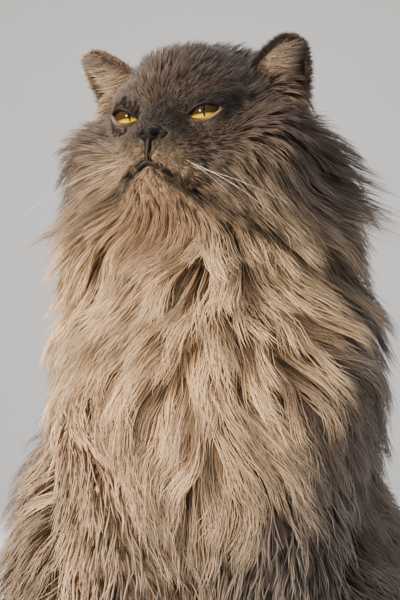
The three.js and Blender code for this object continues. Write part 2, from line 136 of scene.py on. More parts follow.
def limb(points, coat):
    """Tapered lengths of flesh from point to point."""
    made = []
    for a, b in zip(points, points[1:]):
        made.append({"a": carry(BODY, a[:3]), "b": carry(BODY, b[:3]), "ra": a[3], "rb": b[3], "coat": coat})
    return made


def masses(home, *rows):
    """Rounded masses from rows of middle, half sizes, coat and, where there is one, tilt."""
    return [ball(home, *row) for row in rows]


TAIL_PATH = [(4, 72, 36, 15), (30, 104, 32, 14), (72, 108, 30, 13), (108, 80, 29, 13)]
TAIL_PATH += [(126, 34, 28, 12), (126, -18, 27, 11), (112, -62, 25, 9)]
TOES, FINGERS = (-9, -3, 3, 9), (-10, -3.5, 3.5, 10)


def flesh_table():
    """The masses of flesh of each part, and how softly they run together."""
    skull = masses(
        HEAD,
        ((0, 8, 4), (36, 38, 32), 10),
        ((0, -12, 15), (25, 20, 16), 10),
        ((19, -20, 12), (14, 11, 7), 7),
        ((-19, -20, 12), (14, 11, 7), 7),
        ((26, -8, -12), (22, 22, 20), 24),
        ((-25, -8, -14), (22, 22, 19), 22),
        ((39, 9, 14), (12, 11, 12), 7),
        ((-39, 9, 14), (12, 11, 12), 7),
        ((0, -26, -14), (20, 16, 13), 6),
        ((8.5, -36, -19), (10.5, 9, 8.5), 6),
        ((-8.5, -36, -19), (10.5, 9, 8.5), 6),
        ((0, -31, -3), (7.5, 10, 8), 4),
    )
    neck = masses(
        BODY,
        ((10, -52, 268), (50, 44, 46), 34, 12),
        ((12, -78, 268), (38, 30, 34), 32),
        ((34, -50, 306), (26, 26, 24), 34),
    )
    torso = masses(
        BODY,
        ((0, 3, 66), (64, 64, 72), 26),
        ((-4, -8, 112), (80, 60, 76), 30),
        ((8, -32, 166), (60, 54, 82), 32, 20),
        ((12, -80, 180), (42, 34, 60), 32),
        ((41, -58, 200), (28, 34, 48), 32),
        ((-16, -58, 194), (28, 34, 44), 32),
    )
    table = {
        "head": (3.5, skull),
        "jaw": (3.0, masses(HEAD, ((0, -30, -31), (13, 12, 9), 12))),
        "neck": (7.0, neck),
        "torso": (7.0, torso),
        "tail": (7.0, limb(TAIL_PATH, 20)),
    }
    for s, name in SIDES.items():
        thigh = masses(BODY, ((s * 62, 0, 66), (37, 62, 60), 24, 14), ((s * 60, -30, 44), (32, 40, 40), 22))
        hock = masses(BODY, ((s * 64, -58, 15), (15, 30, 14), 7), ((s * 63, -78, 13), (16, 18, 12), 5))
        hock += masses(BODY, *(((s * 63 + x, -93 + abs(x) * 0.5, 9), (5, 8, 8), 3) for x in TOES))
        leg = [(s * 34, -78, 168, 27), (s * 30, -88, 110, 21), (s * 28, -98, 62, 16), (s * 27, -104, 30, 14)]
        paw = masses(BODY, ((s * 27, -110, 16), (16, 19, 15), 6))
        paw += masses(BODY, *(((s * 27 + x, -126 + abs(x) * 0.6, 10), (5.5, 9, 9), 3) for x in FINGERS))
        table["thigh_" + name] = (7.0, thigh)
        table["hind_foot_" + name] = (2.0, hock)
        table["foreleg_" + name] = (7.0, limb(leg, 17))
        table["forepaw_" + name] = (2.0, paw)
    return table


FLESH = flesh_table()
NODES = list(FLESH)
NOSE_TIP = carry(HEAD, (0, -47, -9))
NOSE_MASSES = masses(
    HEAD,
    ((0, -43, -10), (5.5, 6, 4.5), 0),
    ((4.4, -42, -11), (3.6, 5, 3.3), 0),
    ((-4.4, -42, -11), (3.6, 5, 3.3), 0),
    ((0, -42.5, -16), (2.2, 4, 4.5), 0),
)
CHIN = carry(HEAD, (0, -24, -30))
LIP_LINE = [(-27, -30.5, -39), (-20, -34.5, -36), (-13, -43, -31.5), (-6, -47, -27), (0, -47.5, -24)]
LIP_LINE += [(-x, y, z) for x, y, z in LIP_LINE[-2::-1]]
CLEFT = [(0, -47.5, -24.0), (0, -47.5, -17.0)]
TAIL_POINTS = np.array([carry(BODY, p[:3]) for p in TAIL_PATH])


def eye_frame(s):
    """An eye's own frame: out of the pupil is its -Y."""
    return HEAD @ place(about("z", s * math.radians(EYE_YAW)), (s * EYE_SPREAD, -EYE_FORWARD, EYE_UP))


EYES = {s: eye_frame(s) for s in SIDES}


def outside(part, p):
    """How far points are outside one mass, negative inside it."""
    if "half" in part:
        q = carry(part["back"], p) / part["half"]
        k = np.maximum(length(q), 1e-4)
        return k * (k - 1) / np.maximum(length(q / part["half"]), 1e-6)
    along = part["b"] - part["a"]
    t = np.clip((p - part["a"]) @ along / (along @ along), 0, 1)
    near = part["a"] + t[:, None] * along
    return length(p - near) - (part["ra"] + (part["rb"] - part["ra"]) * t)


def soft_union(distances, values, blend):
    """The soft union of several distances, and a value that blends with them."""
    nearest = distances.min(axis=1, keepdims=True)
    weights = np.exp((nearest - distances) / blend)
    total = weights.sum(axis=1)
    return nearest[:, 0] - blend * np.log(total), (weights * values).sum(axis=1) / total


def field_chunk(p):
    """The field at some thousands of points."""
    distances, coats = [], []
    for blend, parts in FLESH.values():
        each = np.stack([outside(part, p) for part in parts], axis=1)
        d, c = soft_union(each, np.array([part["coat"] for part in parts], float), blend)
        distances.append(d)
        coats.append(c)
    distances, coats = np.stack(distances, axis=1), np.stack(coats, axis=1)
    d, coat = soft_union(distances, coats, ACROSS_NODES)
    near = smooth(length(p - NOSE_TIP), *NOSE_REACH)
    for eye in EYES.values():
        near = np.minimum(near, smooth(length(p - eye[:3, 3]), *EYE_REACH))
    coat = np.where(coat > SHORT_HAIR, SHORT_HAIR + (coat - SHORT_HAIR) * near, coat)
    return d, coat, distances


CHUNK = 20000


def field(p):
    """The distance to the flesh, the coat's depth and the distance to each part."""
    made = [field_chunk(p[i : i + CHUNK]) for i in range(0, len(p), CHUNK)]
    return tuple(np.concatenate(arrays) for arrays in zip(*made))


def outward(p, step=0.7):
    """The way out of the flesh at each point."""
    corners = np.array([(1, 1, 1), (1, -1, -1), (-1, 1, -1), (-1, -1, 1)], float)
    return unit(sum(corner * field(p + corner * step)[0][:, None] for corner in corners))


def hill_noise(p, scale, seed):
    """A smooth random number from -1 to 1 at each point, with bumps about as wide as the scale."""
    rng = np.random.default_rng(seed)
    total = 0
    for _ in range(5):
        way = unit(rng.normal(size=3)) * rng.uniform(0.7, 1.4) * 2 * math.pi / (2 * scale)
        total = total + np.sin(p @ way + rng.uniform(0, 2 * math.pi))
    return total / 3.2


def lip_distance(p):
    """How far points are from the line of the lips and the cleft above it, and the way out along it."""
    q = carry(HEAD_BACK, p)
    line = np.array(LIP_LINE, float)
    pairs = [*zip(line, line[1:]), tuple(np.array(CLEFT))]
    best, way = np.full(len(q), 1e9), np.zeros((len(q), 3))
    for a, b in pairs:
        along = b - a
        t = np.clip((q - a) @ along / (along @ along), 0, 1)
        gap = length(q - a - t[:, None] * along)
        way[gap < best] = unit(along)
        best = np.minimum(best, gap)
    way = way * np.where(way[:, :1] * q[:, :1] < 0, -1, 1)
    return best, way @ HEAD_TURN.T


# The coat's lie


def tail_way(p):
    """The way along the tail."""
    gaps = length(p[:, None] - TAIL_POINTS[None])
    weights = fade(gaps, 26, 2) + 1e-9
    ways = unit(np.gradient(TAIL_POINTS, axis=0))
    return unit((weights[..., None] * ways).sum(axis=1)) + np.array([0, 0, -0.1])


LIMB_WAYS = {"thigh": (0, 0.4, -1), "foreleg": (0, -0.12, -1), "hind": (0, -1, -0.25), "forepaw": (0, -1, -0.6)}


def lie(p, near_nodes):
    """The way that the hair lies at each point."""
    down = np.array([0, 0, -1.0])
    weights = np.exp((near_nodes.min(axis=1, keepdims=True) - near_nodes) / 5)
    q = carry(HEAD_BACK, p)
    behind = (smooth(q[:, 1], -6, 26) + 0.8 * smooth(np.abs(q[:, 0]), 34, 58))[:, None]
    face = unit(p - NOSE_TIP) + HEAD_TURN @ np.array([0, 0.5, -0.15]) + 3.0 * behind * down
    for s, eye in EYES.items():
        away = p - eye[:3, 3]
        near = fade(length(away), 17)[:, None]
        lid = (smooth(almond_height(in_eye(s, p)), 1, 4) * fade(length(away), 15))[:, None]
        face = face + 1.4 * near * unit(away) * (1 - 0.75 * lid) + 2.6 * lid * (eye[:3, 0] * s)
    gap, along_lip = lip_distance(p)
    face = face + 2.2 * fade(gap, 6, 2)[:, None] * along_lip
    ruff = unit(p - CHIN) + (0.9 + 1.3 * smooth(p[:, 1], -85, -45))[:, None] * down
    front = smooth(-p[:, 1], 10, 60)
    trunk = np.stack([front * 0.022 * (p[:, 0] - 8), 0.3 * (1 - front), -np.ones(len(p))], axis=1)
    ways = {"head": face, "jaw": ruff, "neck": ruff, "torso": trunk, "tail": tail_way(p)}
    total = 0
    for i, node in enumerate(NODES):
        way = ways[node] if node in ways else np.array(LIMB_WAYS[node.split("_")[0]], float)[None]
        total = total + weights[:, i : i + 1] * unit(way)
    return total


def turn_about(v, axis, angle):
    """Vectors turned about an axis of their own."""
    c, s = np.cos(angle)[:, None], np.sin(angle)[:, None]
    return v * c + np.cross(axis, v) * s + axis * (v * axis).sum(axis=1, keepdims=True) * (1 - c)


def march(roots, normals, lengths, rise, swirl, reach, steps):
    """Guide hairs: from each root along the lie, climbing to the coat's full depth. Points, ways and ups."""
    at, up = roots.copy(), normals.copy()
    start = field(at)[0]
    way = None
    points, ways, ups = [], [], []
    for i in range(steps + 1):
        t = i / steps
        d, coat, near_nodes = field(at)
        up = unit(up + 0.8 * outward(at)) if i else up
        if i:
            target = start + (coat * reach - start) * (1 - (1 - t) ** rise)
            at = at + up * np.clip(target - d, -5, 7)[:, None]
        at[:, 2] = np.maximum(at[:, 2], 1.5 + 3 * t)
        for eye in EYES.values():
            away = at - eye[:3, 3]
            at = at + unit(away) * np.clip(EYE_RADIUS + 2.0 + 1.0 * t - length(away), 0, 4)[:, None]
        wanted = lie(at, near_nodes)
        wanted = unit(wanted - up * (wanted * up).sum(axis=1, keepdims=True))
        wanted = turn_about(wanted, up, swirl * hill_noise(at, 34, 5) + 0.5 * swirl * hill_noise(at, 13, 6))
        way = wanted if way is None else unit(way + 0.9 * wanted)
        way = unit(way - up * (way * up).sum(axis=1, keepdims=True))
        points.append(at.copy())
        ways.append(way.copy())
        ups.append(up.copy())
        at = at + way * (lengths / steps)[:, None]
    return np.stack(points, 1), np.stack(ways, 1), np.stack(ups, 1)


def almond_height(q):
    """How high points in an eye's frame are above the line through its corners."""
    return q[:, 2] * math.cos(SLANT) - q[:, 0] * math.sin(SLANT)


def almond(q):
    """How far points in an eye's frame are from the middle of its opening: 1 on its rim, for the left eye."""
    x = q[:, 0] * math.cos(SLANT) + q[:, 2] * math.sin(SLANT)
    z = almond_height(q)
    tall = np.where(z > 0, OPENING["above"], OPENING["below"])
    return np.abs(z) / tall + (x / (OPENING["width"] / 2)) ** 2


def in_eye(s, p):
    """Points in an eye's frame, mirrored so that both eyes read as the left one."""
    q = carry(np.linalg.inv(EYES[s]), p)
    q[:, 0] *= s
    return q


# Markings, with painted light and shade, shared by the skin and the coat


def markings(p):
    """Four masks at each point: the grey of the head, the warm front, the dark face mask and the rusty chin. The warm
    front also holds painted shade on the cat's left side and towards the bottom, and painted light on the middle of
    the chest; the face mask also holds painted shade above the eyes and at the corners of the mouth, and the grey
    holds painted shade on the cat's left ear.
    """
    q = carry(HEAD_BACK, p)
    noise = hill_noise(p, 22, 11)
    reach = np.where(q[:, 0] > 0, 1.12, 1.45)
    grey = 1 - smooth(length(np.stack([q[:, 0] / reach, q[:, 1], q[:, 2] - 10], 1)) + 5 * noise, 46, 68)
    tuft = np.zeros(len(p))
    for s in EARS:
        base, tall, rise, _, behind = ear_axes(s)
        off = q - base
        tuft = np.maximum(tuft, fade(length(off - rise * 5 + behind * 5), 9, 2))
        off = off - rise * np.clip(off @ rise, 0, tall)[:, None]
        # painted shade: the cat's left ear, away from the key light, is a little darker than its right
        grey = np.maximum(grey, (0.97 if s > 0 else 0.9) * fade(length(off), 20))
    grey = grey * (1 - 0.5 * tuft)
    # painted shade: the warm front turns to the cool, dark colour of the side from the cat's left side, away from the
    # key light, reaching further across the farther a point is from 235 mm up
    side = smooth(p[:, 0] + 7 * noise + 0.3 * np.abs(235 - p[:, 2]), 24, 74)
    # painted shade: the warm front fades to half below about 200 mm, except far out on the cat's right side, which
    # faces the key light
    low = 0.5 + 0.5 * np.maximum(smooth(p[:, 2] + 10 * noise, 90, 205), smooth(-p[:, 0], 40, 90))
    # painted light: the middle of the chest, 130 to 190 mm up, is made paler and warmer, as if lit from the front; the
    # rest of this mix is the coat's own smoky tone
    middle = fade(p[:, 0] + 2, 48, 2) * smooth(p[:, 2], 130, 190)
    smoke_and_chest_light = np.clip(0.7 + 0.36 * middle + 0.3 * hill_noise(p, 10, 21) + 0.22 * hill_noise(p, 30, 23), 0, 1)
    warm = smooth(-p[:, 1] + 8 * noise, 5, 88) * (1 - 0.95 * side) * low * smoke_and_chest_light
    mask = 0.75 * patch(q, (0, -44, -8), (1.3, 1, 1.2), 16)
    mask = np.maximum(mask, patch(q, (0, -47, -11), (1.5, 1, 1), 7))
    for s in EYES:
        near = in_eye(s, p)
        high = almond_height(near)
        front = near[:, 1] < 0
        round_eye = 0.5 * fade(length(near), 17) * smooth(high, -4, 1)
        # painted shade: a dark band just above each upper lid, under the brow, stronger and wider over the cat's left
        # eye, away from the key light
        above = fade(high - 5.0 + 0.9 * (s < 0), 2.7 if s > 0 else 1.7) * (1 if s > 0 else 0.3)
        above = above * smooth(near[:, 0], -12, -8) * smooth(-near[:, 0], -17, -11)
        # a dark spot at the inner corner of each eye
        inner_corner = patch(near, (-9.5, -9, -0.5), (1.1, 2.5, 1.5), 3)
        mask = np.maximum(mask, np.maximum(round_eye, np.maximum(above * front, inner_corner)))
    mask = np.maximum(mask, fade(lip_distance(p)[0], 2.4 + 0.06 * np.abs(q[:, 0])))
    # painted shade: dark patches in the corners of the mouth, broader on the cat's left, away from the key light
    for x, z, broad in ((37, -41, 10), (-28, -46, 5)):
        corner = np.exp(-(((q[:, 0] - x) / broad) ** 4) - ((q[:, 2] - z) / 4) ** 4)
        mask = np.maximum(mask, 0.8 * corner * (q[:, 1] < 0))
    chin = patch(q, (0, -38, -42), (1.3, 1.2, 0.9), 15, 2)
    warm = np.maximum(warm, 0.7 * tuft)
    return np.clip(np.stack([grey, warm, mask, chin], axis=1), 0, 1)


# Shader maths


class Wire:
    """A socket of a material that takes part in Python sums."""

    def __init__(self, tree, socket=None):
        self.tree, self.socket = tree, socket

    def node(self, kind, inputs=None, output=0, **settings):
        """Adds a node of any kind: its settings first, then the values or links of its sockets."""
        made = self.tree.nodes.new(kind)
        for name, value in settings.items():
            if name == "stops":
                ramp = made.color_ramp.elements
                while len(ramp) < len(value):
                    ramp.new(0.5)
                for element, (position, colour) in zip(ramp, value):
                    element.position, element.color = position, colour
            else:
                setattr(made, name, value)
        for key, value in (inputs or {}).items():
            if isinstance(value, Wire):
                self.tree.links.new(value.socket, made.inputs[key])
            else:
                made.inputs[key].default_value = value
        return Wire(self.tree, made.outputs[output])

    def math(self, operation, a, b=0.0, clamp=False):
        return self.node("ShaderNodeMath", {0: a, 1: b}, operation=operation, use_clamp=clamp)

    def __add__(self, other):
        return self.math("ADD", self, other)

    __radd__ = __add__

    def __sub__(self, other):
        return self.math("SUBTRACT", self, other)

    def __rsub__(self, other):
        return self.math("SUBTRACT", other, self)

    def __mul__(self, other):
        return self.math("MULTIPLY", self, other)

    def __truediv__(self, other):
        return self.math("DIVIDE", self, other)

    def __pow__(self, other):
        return self.math("POWER", self, other)

    def clamp(self):
        return self.math("ADD", self, 0.0, clamp=True)

    def mix(self, factor, a, b, blend="MIX"):
        """A colour between a and b."""
        return self.node("ShaderNodeMix", {0: factor, 6: a, 7: b}, output=2, data_type="RGBA", blend_type=blend)

    def own(self, name, output=0):
        """What a piece carries under a name: output 0 is its colour, 2 its number and 3 its fourth channel."""
        return self.node("ShaderNodeAttribute", output=output, attribute_name=name)

    def parts(self):
        """The red, green and blue of a colour."""
        outputs = self.node("ShaderNodeSeparateColor", {0: self}).socket.node.outputs
        return [Wire(self.tree, output) for output in outputs[:3]]

    def here(self):
        return self.node("ShaderNodeTexCoord", output=3)

    def noise(self, scale, detail=2.0, vector=None):
        """Soft noise over the piece, or over a given vector."""
        inputs = {"Vector": vector or self.here(), "Scale": scale, "Detail": detail}
        return self.node("ShaderNodeTexNoise", inputs)

    def bump(self, height, strength, distance):
        return self.node("ShaderNodeBump", {"Height": height, "Strength": strength, "Distance": distance})


def finish(name, **constants):
    """A material with one Principled shader: the wire to build with, and the shader."""
    material = bpy.data.materials.new(name)
    material.use_nodes = True
    tree = material.node_tree
    shader = tree.nodes["Principled BSDF"]
    for key, value in constants.items():
        shader.inputs[key.replace("_", " ")].default_value = value
    return material, Wire(tree), shader


def feed(wire, shader, **links):
    """Links wires to the shader's sockets."""
    for key, value in links.items():
        wire.tree.links.new(value.socket, shader.inputs[key.replace("_", " ")])


def rgb(colour, strength=1.0):
    return (colour[0] * strength, colour[1] * strength, colour[2] * strength, 1.0)


def coat_colour(wire, settings, along, alone, clump):
    """The coat's colour: from a dark root to a pale tip, by the coat's pattern, with the painted light and shade that
    ride in the same masks.
    """
    grey, warm, mask = wire.own("marks").parts()
    chin = wire.own("marks", 3)
    # the warm channel also carries painted shade on the cat's left and low down, and painted light on the middle of
    # the chest
    tip = wire.mix(warm, rgb(settings.cool_tip), rgb(settings.warm_tip))
    # the third channel also carries painted shade above the eyes, on the cat's left ear and at the corners of the
    # mouth
    over = ((grey * 0.93, settings.head_tip), (chin * 0.75, settings.chin_tip), (mask * 0.95, settings.mask))
    for amount, colour in over:
        tip = wire.mix(amount.clamp(), tip, rgb(colour))
    root = wire.mix(warm, rgb(settings.root), rgb(settings.warm_root))
    root = wire.mix(grey, root, rgb(settings.head_root))
    root = wire.mix((mask * 0.95).clamp(), root, rgb(settings.mask, 0.6))
    base = wire.mix((along * 1.45 - 0.3).clamp(), root, tip)
    shade = alone * 0.4 + clump * 0.55 + 0.6
    return wire.mix(1.0, base, wire.node("ShaderNodeCombineColor", {0: shade, 1: shade, 2: shade}), "MULTIPLY")


def coat_finish(settings):
    """Hair: coloured by its own attributes, with a soft sheen."""
    material, wire, shader = finish(
        "hair", Roughness=0.55, IOR=1.45, Sheen_Weight=0.08, Sheen_Roughness=0.5, Specular_IOR_Level=0.22
    )
    along, alone, clump = wire.own("hair").parts()
    across = wire.own("hair", 3)
    grain = wire.node("ShaderNodeCombineXYZ", {0: across * 4.5, 1: alone * 91.0, 2: along * 1.5 + clump * 37.0})
    streak = wire.noise(1.0, vector=grain)
    colour = coat_colour(wire, settings, along, alone, clump)
    dull = wire.mix(1.0, colour, rgb((0.5, 0.48, 0.47)), "MULTIPLY")
    colour = wire.mix(((streak - 0.38) * 3.2).clamp(), dull, colour)
    feed(wire, shader, Base_Color=colour, Roughness=streak * 0.25 + 0.45)
    return material


def skin_finish(settings):
    """The short undercoat on the skin: the same pattern, painted light and painted shade as the coat, with fine
    streaks.
    """
    material, wire, shader = finish("undercoat", IOR=1.4, Specular_IOR_Level=0.1)
    bare = wire.own("bare", 2)
    fine, broad = wire.noise(1400.0, 3.0), wire.noise(160.0, 4.0)
    colour = coat_colour(wire, settings, broad * 0.7 + 0.05, fine, broad)
    colour = wire.mix(bare, colour, wire.mix(broad, rgb(settings.ear_skin, 0.6), rgb(settings.ear_skin)))
    bump = wire.bump(fine * 0.6 + broad, 0.7, 0.0015)
    feed(wire, shader, Base_Color=colour, Roughness=0.55 + fine * 0.3, Normal=bump)
    return material


# Modelling helpers


def only(obj=None):
    """Deselects everything, and selects and activates one object if it is given."""
    if bpy.context.object and bpy.context.object.mode != "OBJECT":
        bpy.ops.object.mode_set(mode="OBJECT")
    bpy.ops.object.select_all(action="DESELECT")
    if obj:
        obj.select_set(True)
        bpy.context.view_layer.objects.active = obj
    return obj


def read(items, name, width, kind=np.float32):
    """One value of every item of a mesh, in a row."""
    out = np.empty(len(items) * width, kind)
    items.foreach_get(name, out)
    return out


def write(items, name, values, kind=np.float32):
    """Sets one value of every item of a mesh."""
    items.foreach_set(name, np.ascontiguousarray(values, kind).ravel())


def add(name, data):
    """A new object in the scene."""
    obj = bpy.data.objects.new(name, data)
    bpy.context.scene.collection.objects.link(obj)
    return obj


def coords(obj):
    """An object's points in millimetres."""
    return read(obj.data.vertices, "co", 3).reshape(-1, 3).astype(float) / MM


def put(obj, points):
    """Moves an object's points to places in millimetres."""
    write(obj.data.vertices, "co", np.asarray(points) * MM)
    obj.data.update()


def apply(obj, kind, **settings):
    """Adds a modifier with its settings and applies it."""
    only(obj)
    modifier = obj.modifiers.new(kind.title(), kind)
    for name, value in settings.items():
        setattr(modifier, name, value)
    bpy.ops.object.modifier_apply(modifier=modifier.name)


def edit_all(obj, operation, **settings):
    """Runs an operation of edit mode on a whole mesh."""
    only(obj)
    bpy.ops.object.mode_set(mode="EDIT")
    bpy.ops.mesh.select_all(action="SELECT")
    operation(**settings)
    bpy.ops.object.mode_set(mode="OBJECT")


def join(objects, name):
    """Joins objects into one."""
    only()
    for obj in objects:
        obj.select_set(True)
    bpy.context.view_layer.objects.active = objects[0]
    bpy.ops.object.join()
    made = bpy.context.object
    made.name = made.data.name = name
    return made


def settle(obj, name, material, slot, *nodes):
    """Names a finished piece, gives it its finish and tells the frame about it."""
    obj.name = obj.data.name = name
    obj.data.materials.clear()
    obj.data.materials.append(material)
    only(obj)
    bpy.ops.object.shade_smooth_by_angle(angle=math.pi)
    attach(obj, "root")
    if nodes:
        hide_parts(*nodes)
    return obj


def new_ball(at, radius, segments=24, rings=16):
    """A round ball."""
    only()
    bpy.ops.mesh.primitive_uv_sphere_add(
        segments=segments, ring_count=rings, radius=radius * MM, location=[c * MM for c in at]
    )
    obj = bpy.context.object
    bpy.ops.object.transform_apply()
    return obj


def new_grid(across, along):
    """A flat grid with x and y from 0 to 1."""
    only()
    bpy.ops.mesh.primitive_grid_add(x_subdivisions=across, y_subdivisions=along, size=1)
    obj = bpy.context.object
    put(obj, coords(obj) * MM + (0.5, 0.5, 0))
    return obj


def mass_meshes(parts, share, segments=24, rings=16):
    """A ball for each mass, out to a share of its coat."""
    made = []
    for part in parts:
        if "half" in part:
            obj = new_ball((0, 0, 0), 1, segments, rings)
            put(obj, carry(part["matrix"], coords(obj) * (part["half"] + share * part["coat"])))
            made.append(obj)
            continue
        for t in np.linspace(0, 1, 6):
            at = part["a"] + (part["b"] - part["a"]) * t
            radius = part["ra"] + (part["rb"] - part["ra"]) * t + share * part["coat"]
            made.append(new_ball(at, radius, segments, rings))
    return made


def snap(p, share, rounds=5):
    """Points brought to a share of the coat's depth over the flesh."""
    for _ in range(rounds):
        d, coat, _ = field(p)
        p = p - outward(p) * np.clip(d - share * coat, -6, 6)[:, None]
    return p


def shape_face(p):
    """Sockets and lids round the eyes, and the groove of the mouth."""
    for s in EYES:
        q = in_eye(s, p)
        r = length(q)
        a = almond(q * ((EYE_RADIUS + LID) / r)[:, None])
        near = (r < SOCKET) & (q[:, 1] < 2)
        lidded = np.maximum(r, EYE_RADIUS + LID)
        hollow = np.minimum(r, EYE_RADIUS - 1.5)
        wanted = np.where(a < 1.05, hollow, lidded)
        q[near] *= (wanted / r)[near, None]
        q[:, 0] *= s
        p = np.where(near[:, None], carry(EYES[s], q), p)
    depth = 3.0 * fade(lip_distance(p)[0], 1.7, 2)
    return p - outward(p) * depth[:, None]


def ear_axes(s):
    """An ear's base and height, and the ways up it, across it and out of its back."""
    base, tip = np.array(EARS[s]["base"], float), np.array(EARS[s]["tip"], float)
    rise = unit(tip - base)
    across = unit(np.cross((s * 0.45, -0.85, 0.1), rise))
    behind = unit(np.cross(across, rise))
    return base, np.linalg.norm(tip - base), rise, across, behind


def ear_point(s, a, t, inset=0.0, along=0.0):
    """A point of an ear: a from -1 to 1 round its back from edge to edge, t from its base to its tip."""
    base, tall, rise, across, behind = ear_axes(s)
    left = np.maximum(1 - t, 0) ** 0.5
    swell = left**0.9
    half = np.maximum(EAR_WIDTH / 2 * swell - inset, 0)
    deep = np.maximum(EAR_DEPTH * swell - inset, 0)
    turn = a * math.pi / 2
    local = (
        base
        + rise * (t * tall + along)[:, None]
        + across * (np.sin(turn) * half)[:, None]
        + behind * (np.cos(turn) * deep)[:, None]
    )
    return carry(HEAD, local)


def ear_mesh(s):
    """A cupped, pointed shell."""
    obj = new_grid(40, 30)
    p = coords(obj)
    t = 1 - (1 - p[:, 1]) ** 2
    put(obj, ear_point(s, p[:, 0] * 2 - 1, t))
    apply(obj, "WELD", merge_threshold=0.0001)
    apply(obj, "SOLIDIFY", thickness=EAR_WALL * MM, offset=0)
    return obj


def give_point_data(obj, name, values, kind="FLOAT_COLOR"):
    """Stores values on an object's points."""
    layer = obj.data.attributes.new(name, kind, "POINT")
    field_name = "color" if kind == "FLOAT_COLOR" else "value"
    write(layer.data, field_name, values)


SKIN_VOXEL, QUICK_SKIN_VOXEL = 2.5, 3.4
FACE_RADIUS = 44  # the skin is finer within it


def build_skin(settings):
    """One skin over the whole body, with the ears on it."""
    objects = []
    for _, parts in FLESH.values():
        objects += mass_meshes(parts, SKIN_SHARE)
    skin = join(objects, "skin")
    apply(skin, "REMESH", mode="VOXEL", voxel_size=SKIN_VOXEL * MM)
    near_face = length(coords(skin) - carry(HEAD, (0, -34, -8))) < FACE_RADIUS
    only(skin)
    skin.data.vertices.foreach_set("select", near_face)
    for face in skin.data.polygons:
        face.select = all(near_face[v] for v in face.vertices)
    bpy.ops.object.mode_set(mode="EDIT")
    bpy.ops.mesh.select_mode(type="FACE")
    bpy.ops.mesh.subdivide(number_cuts=1)
    bpy.ops.object.mode_set(mode="OBJECT")
    apply(skin, "SMOOTH", factor=0.5, iterations=3)
    p = shape_face(snap(coords(skin), SKIN_SHARE))
    p[:, 2] = np.maximum(p[:, 2], FLOOR)
    put(skin, p)
    skin = join([skin, ear_mesh(1), ear_mesh(-1)], "skin")
    edit_all(skin, bpy.ops.uv.smart_project, angle_limit=math.radians(66), island_margin=0.002)
    skin.data.uv_layers[0].name = "OFBake"
    p = coords(skin)
    give_point_data(skin, "marks", markings(p))
    bare = np.zeros(len(p))
    for s in EARS:
        base, tall, rise, across, behind = ear_axes(s)
        q = carry(HEAD_BACK, p) - base
        high = q @ rise / tall
        inner = (np.abs(q @ across) < EAR_WIDTH / 2 - 3) & (q @ behind < 8) & (high > 0.1) & (high < 0.85)
        inner &= length(q - rise * (q @ rise)[:, None]) < EAR_WIDTH / 2
        bare = np.maximum(bare, inner * smooth(q @ across * -s, -2, 10) * (1 - smooth(high, 0.4, 0.7)))
    give_point_data(skin, "bare", bare * 0.8, "FLOAT")
    return settle(skin, "skin", skin_finish(settings), "body_fur", *FLESH_NODES)


# The coat

PATCH = 0.003  # a hair's patch of the unwrap


def hair_mesh(name, paths, ups, widths, along, alone, clump, marks, root_uv):
    """Many flat, three-sided, tapering hairs in one mesh, each with its patch of the OFBake map."""
    count, stations = paths.shape[:2]
    ways = unit(np.gradient(paths, axis=1))
    sides = unit(np.cross(ways, ups))
    lifts = np.cross(sides, ways)
    w = widths[..., None]
    left, right = paths + sides * w * 0.5, paths - sides * w * 0.5
    rings = np.stack([paths + lifts * w * 0.35, left - lifts * w * 0.1, right - lifts * w * 0.1], axis=2)
    points = np.concatenate([rings[:, :-1].reshape(count, -1, 3), paths[:, -1:]], axis=1)
    per = 3 * (stations - 1) + 1
    quads, tris = [], [(0, 2, 1)]
    for k in range(stations - 2):
        for j in range(3):
            a, b = 3 * k + j, 3 * k + (j + 1) % 3
            quads.append((a, b, b + 3, a + 3))
    last = 3 * (stations - 2)
    tris += [(last + j, last + (j + 1) % 3, per - 1) for j in range(3)]
    one = np.array([v for q in quads for v in q] + [v for t in tris for v in t])
    sizes = np.array([4] * len(quads) + [3] * len(tris))
    offsets = np.arange(count)[:, None] * per
    loops = (one[None] + offsets).ravel()
    starts = np.concatenate([[0], np.cumsum(np.tile(sizes, count))[:-1]])
    mesh = bpy.data.meshes.new(name)
    mesh.vertices.add(count * per)
    write(mesh.vertices, "co", points * MM)
    mesh.loops.add(len(loops))
    write(mesh.loops, "vertex_index", loops, np.int32)
    mesh.polygons.add(count * len(sizes))
    write(mesh.polygons, "loop_start", starts, np.int32)
    mesh.update(calc_edges=True)
    mesh.validate()
    obj = add(name, mesh)
    t = np.concatenate([np.repeat(along[:, :-1], 3, axis=1), along[:, -1:]], axis=1)
    edge = np.concatenate([np.tile([0.5, 0.0, 1.0], stations - 1), [0.5]])
    tones = [np.repeat(tone[:, None], per, 1) for tone in (alone, clump)]
    hair = np.stack([t, *tones, np.tile(edge, (count, 1))], -1)
    give_point_data(obj, "hair", hair)
    give_point_data(obj, "marks", np.repeat(marks[:, None], per, axis=1))
    across = np.concatenate([np.tile([0.0, 0.5, -0.5], stations - 1), [0.0]])
    patch = np.stack([np.tile(across, (count, 1)), t - 0.5], -1) * PATCH
    uv = (root_uv[:, None] + patch).reshape(-1, 2)[loops]
    write(mesh.uv_layers.new(name="OFBake").data, "uv", uv)
    return obj


def triangles_of(obj):
    """The skin's triangles as points, with their areas, normals and places on the unwrap."""
    mesh = obj.data
    mesh.calc_loop_triangles()
    corners, loops = (read(mesh.loop_triangles, name, 3, np.int32) for name in ("vertices", "loops"))
    uv = read(mesh.uv_layers["OFBake"].data, "uv", 2)
    p = coords(obj)[corners].reshape(-1, 3, 3)
    cross = np.cross(p[:, 1] - p[:, 0], p[:, 2] - p[:, 0])
    return p, length(cross) / 2, unit(cross), uv.reshape(-1, 2)[loops].reshape(-1, 3, 2)


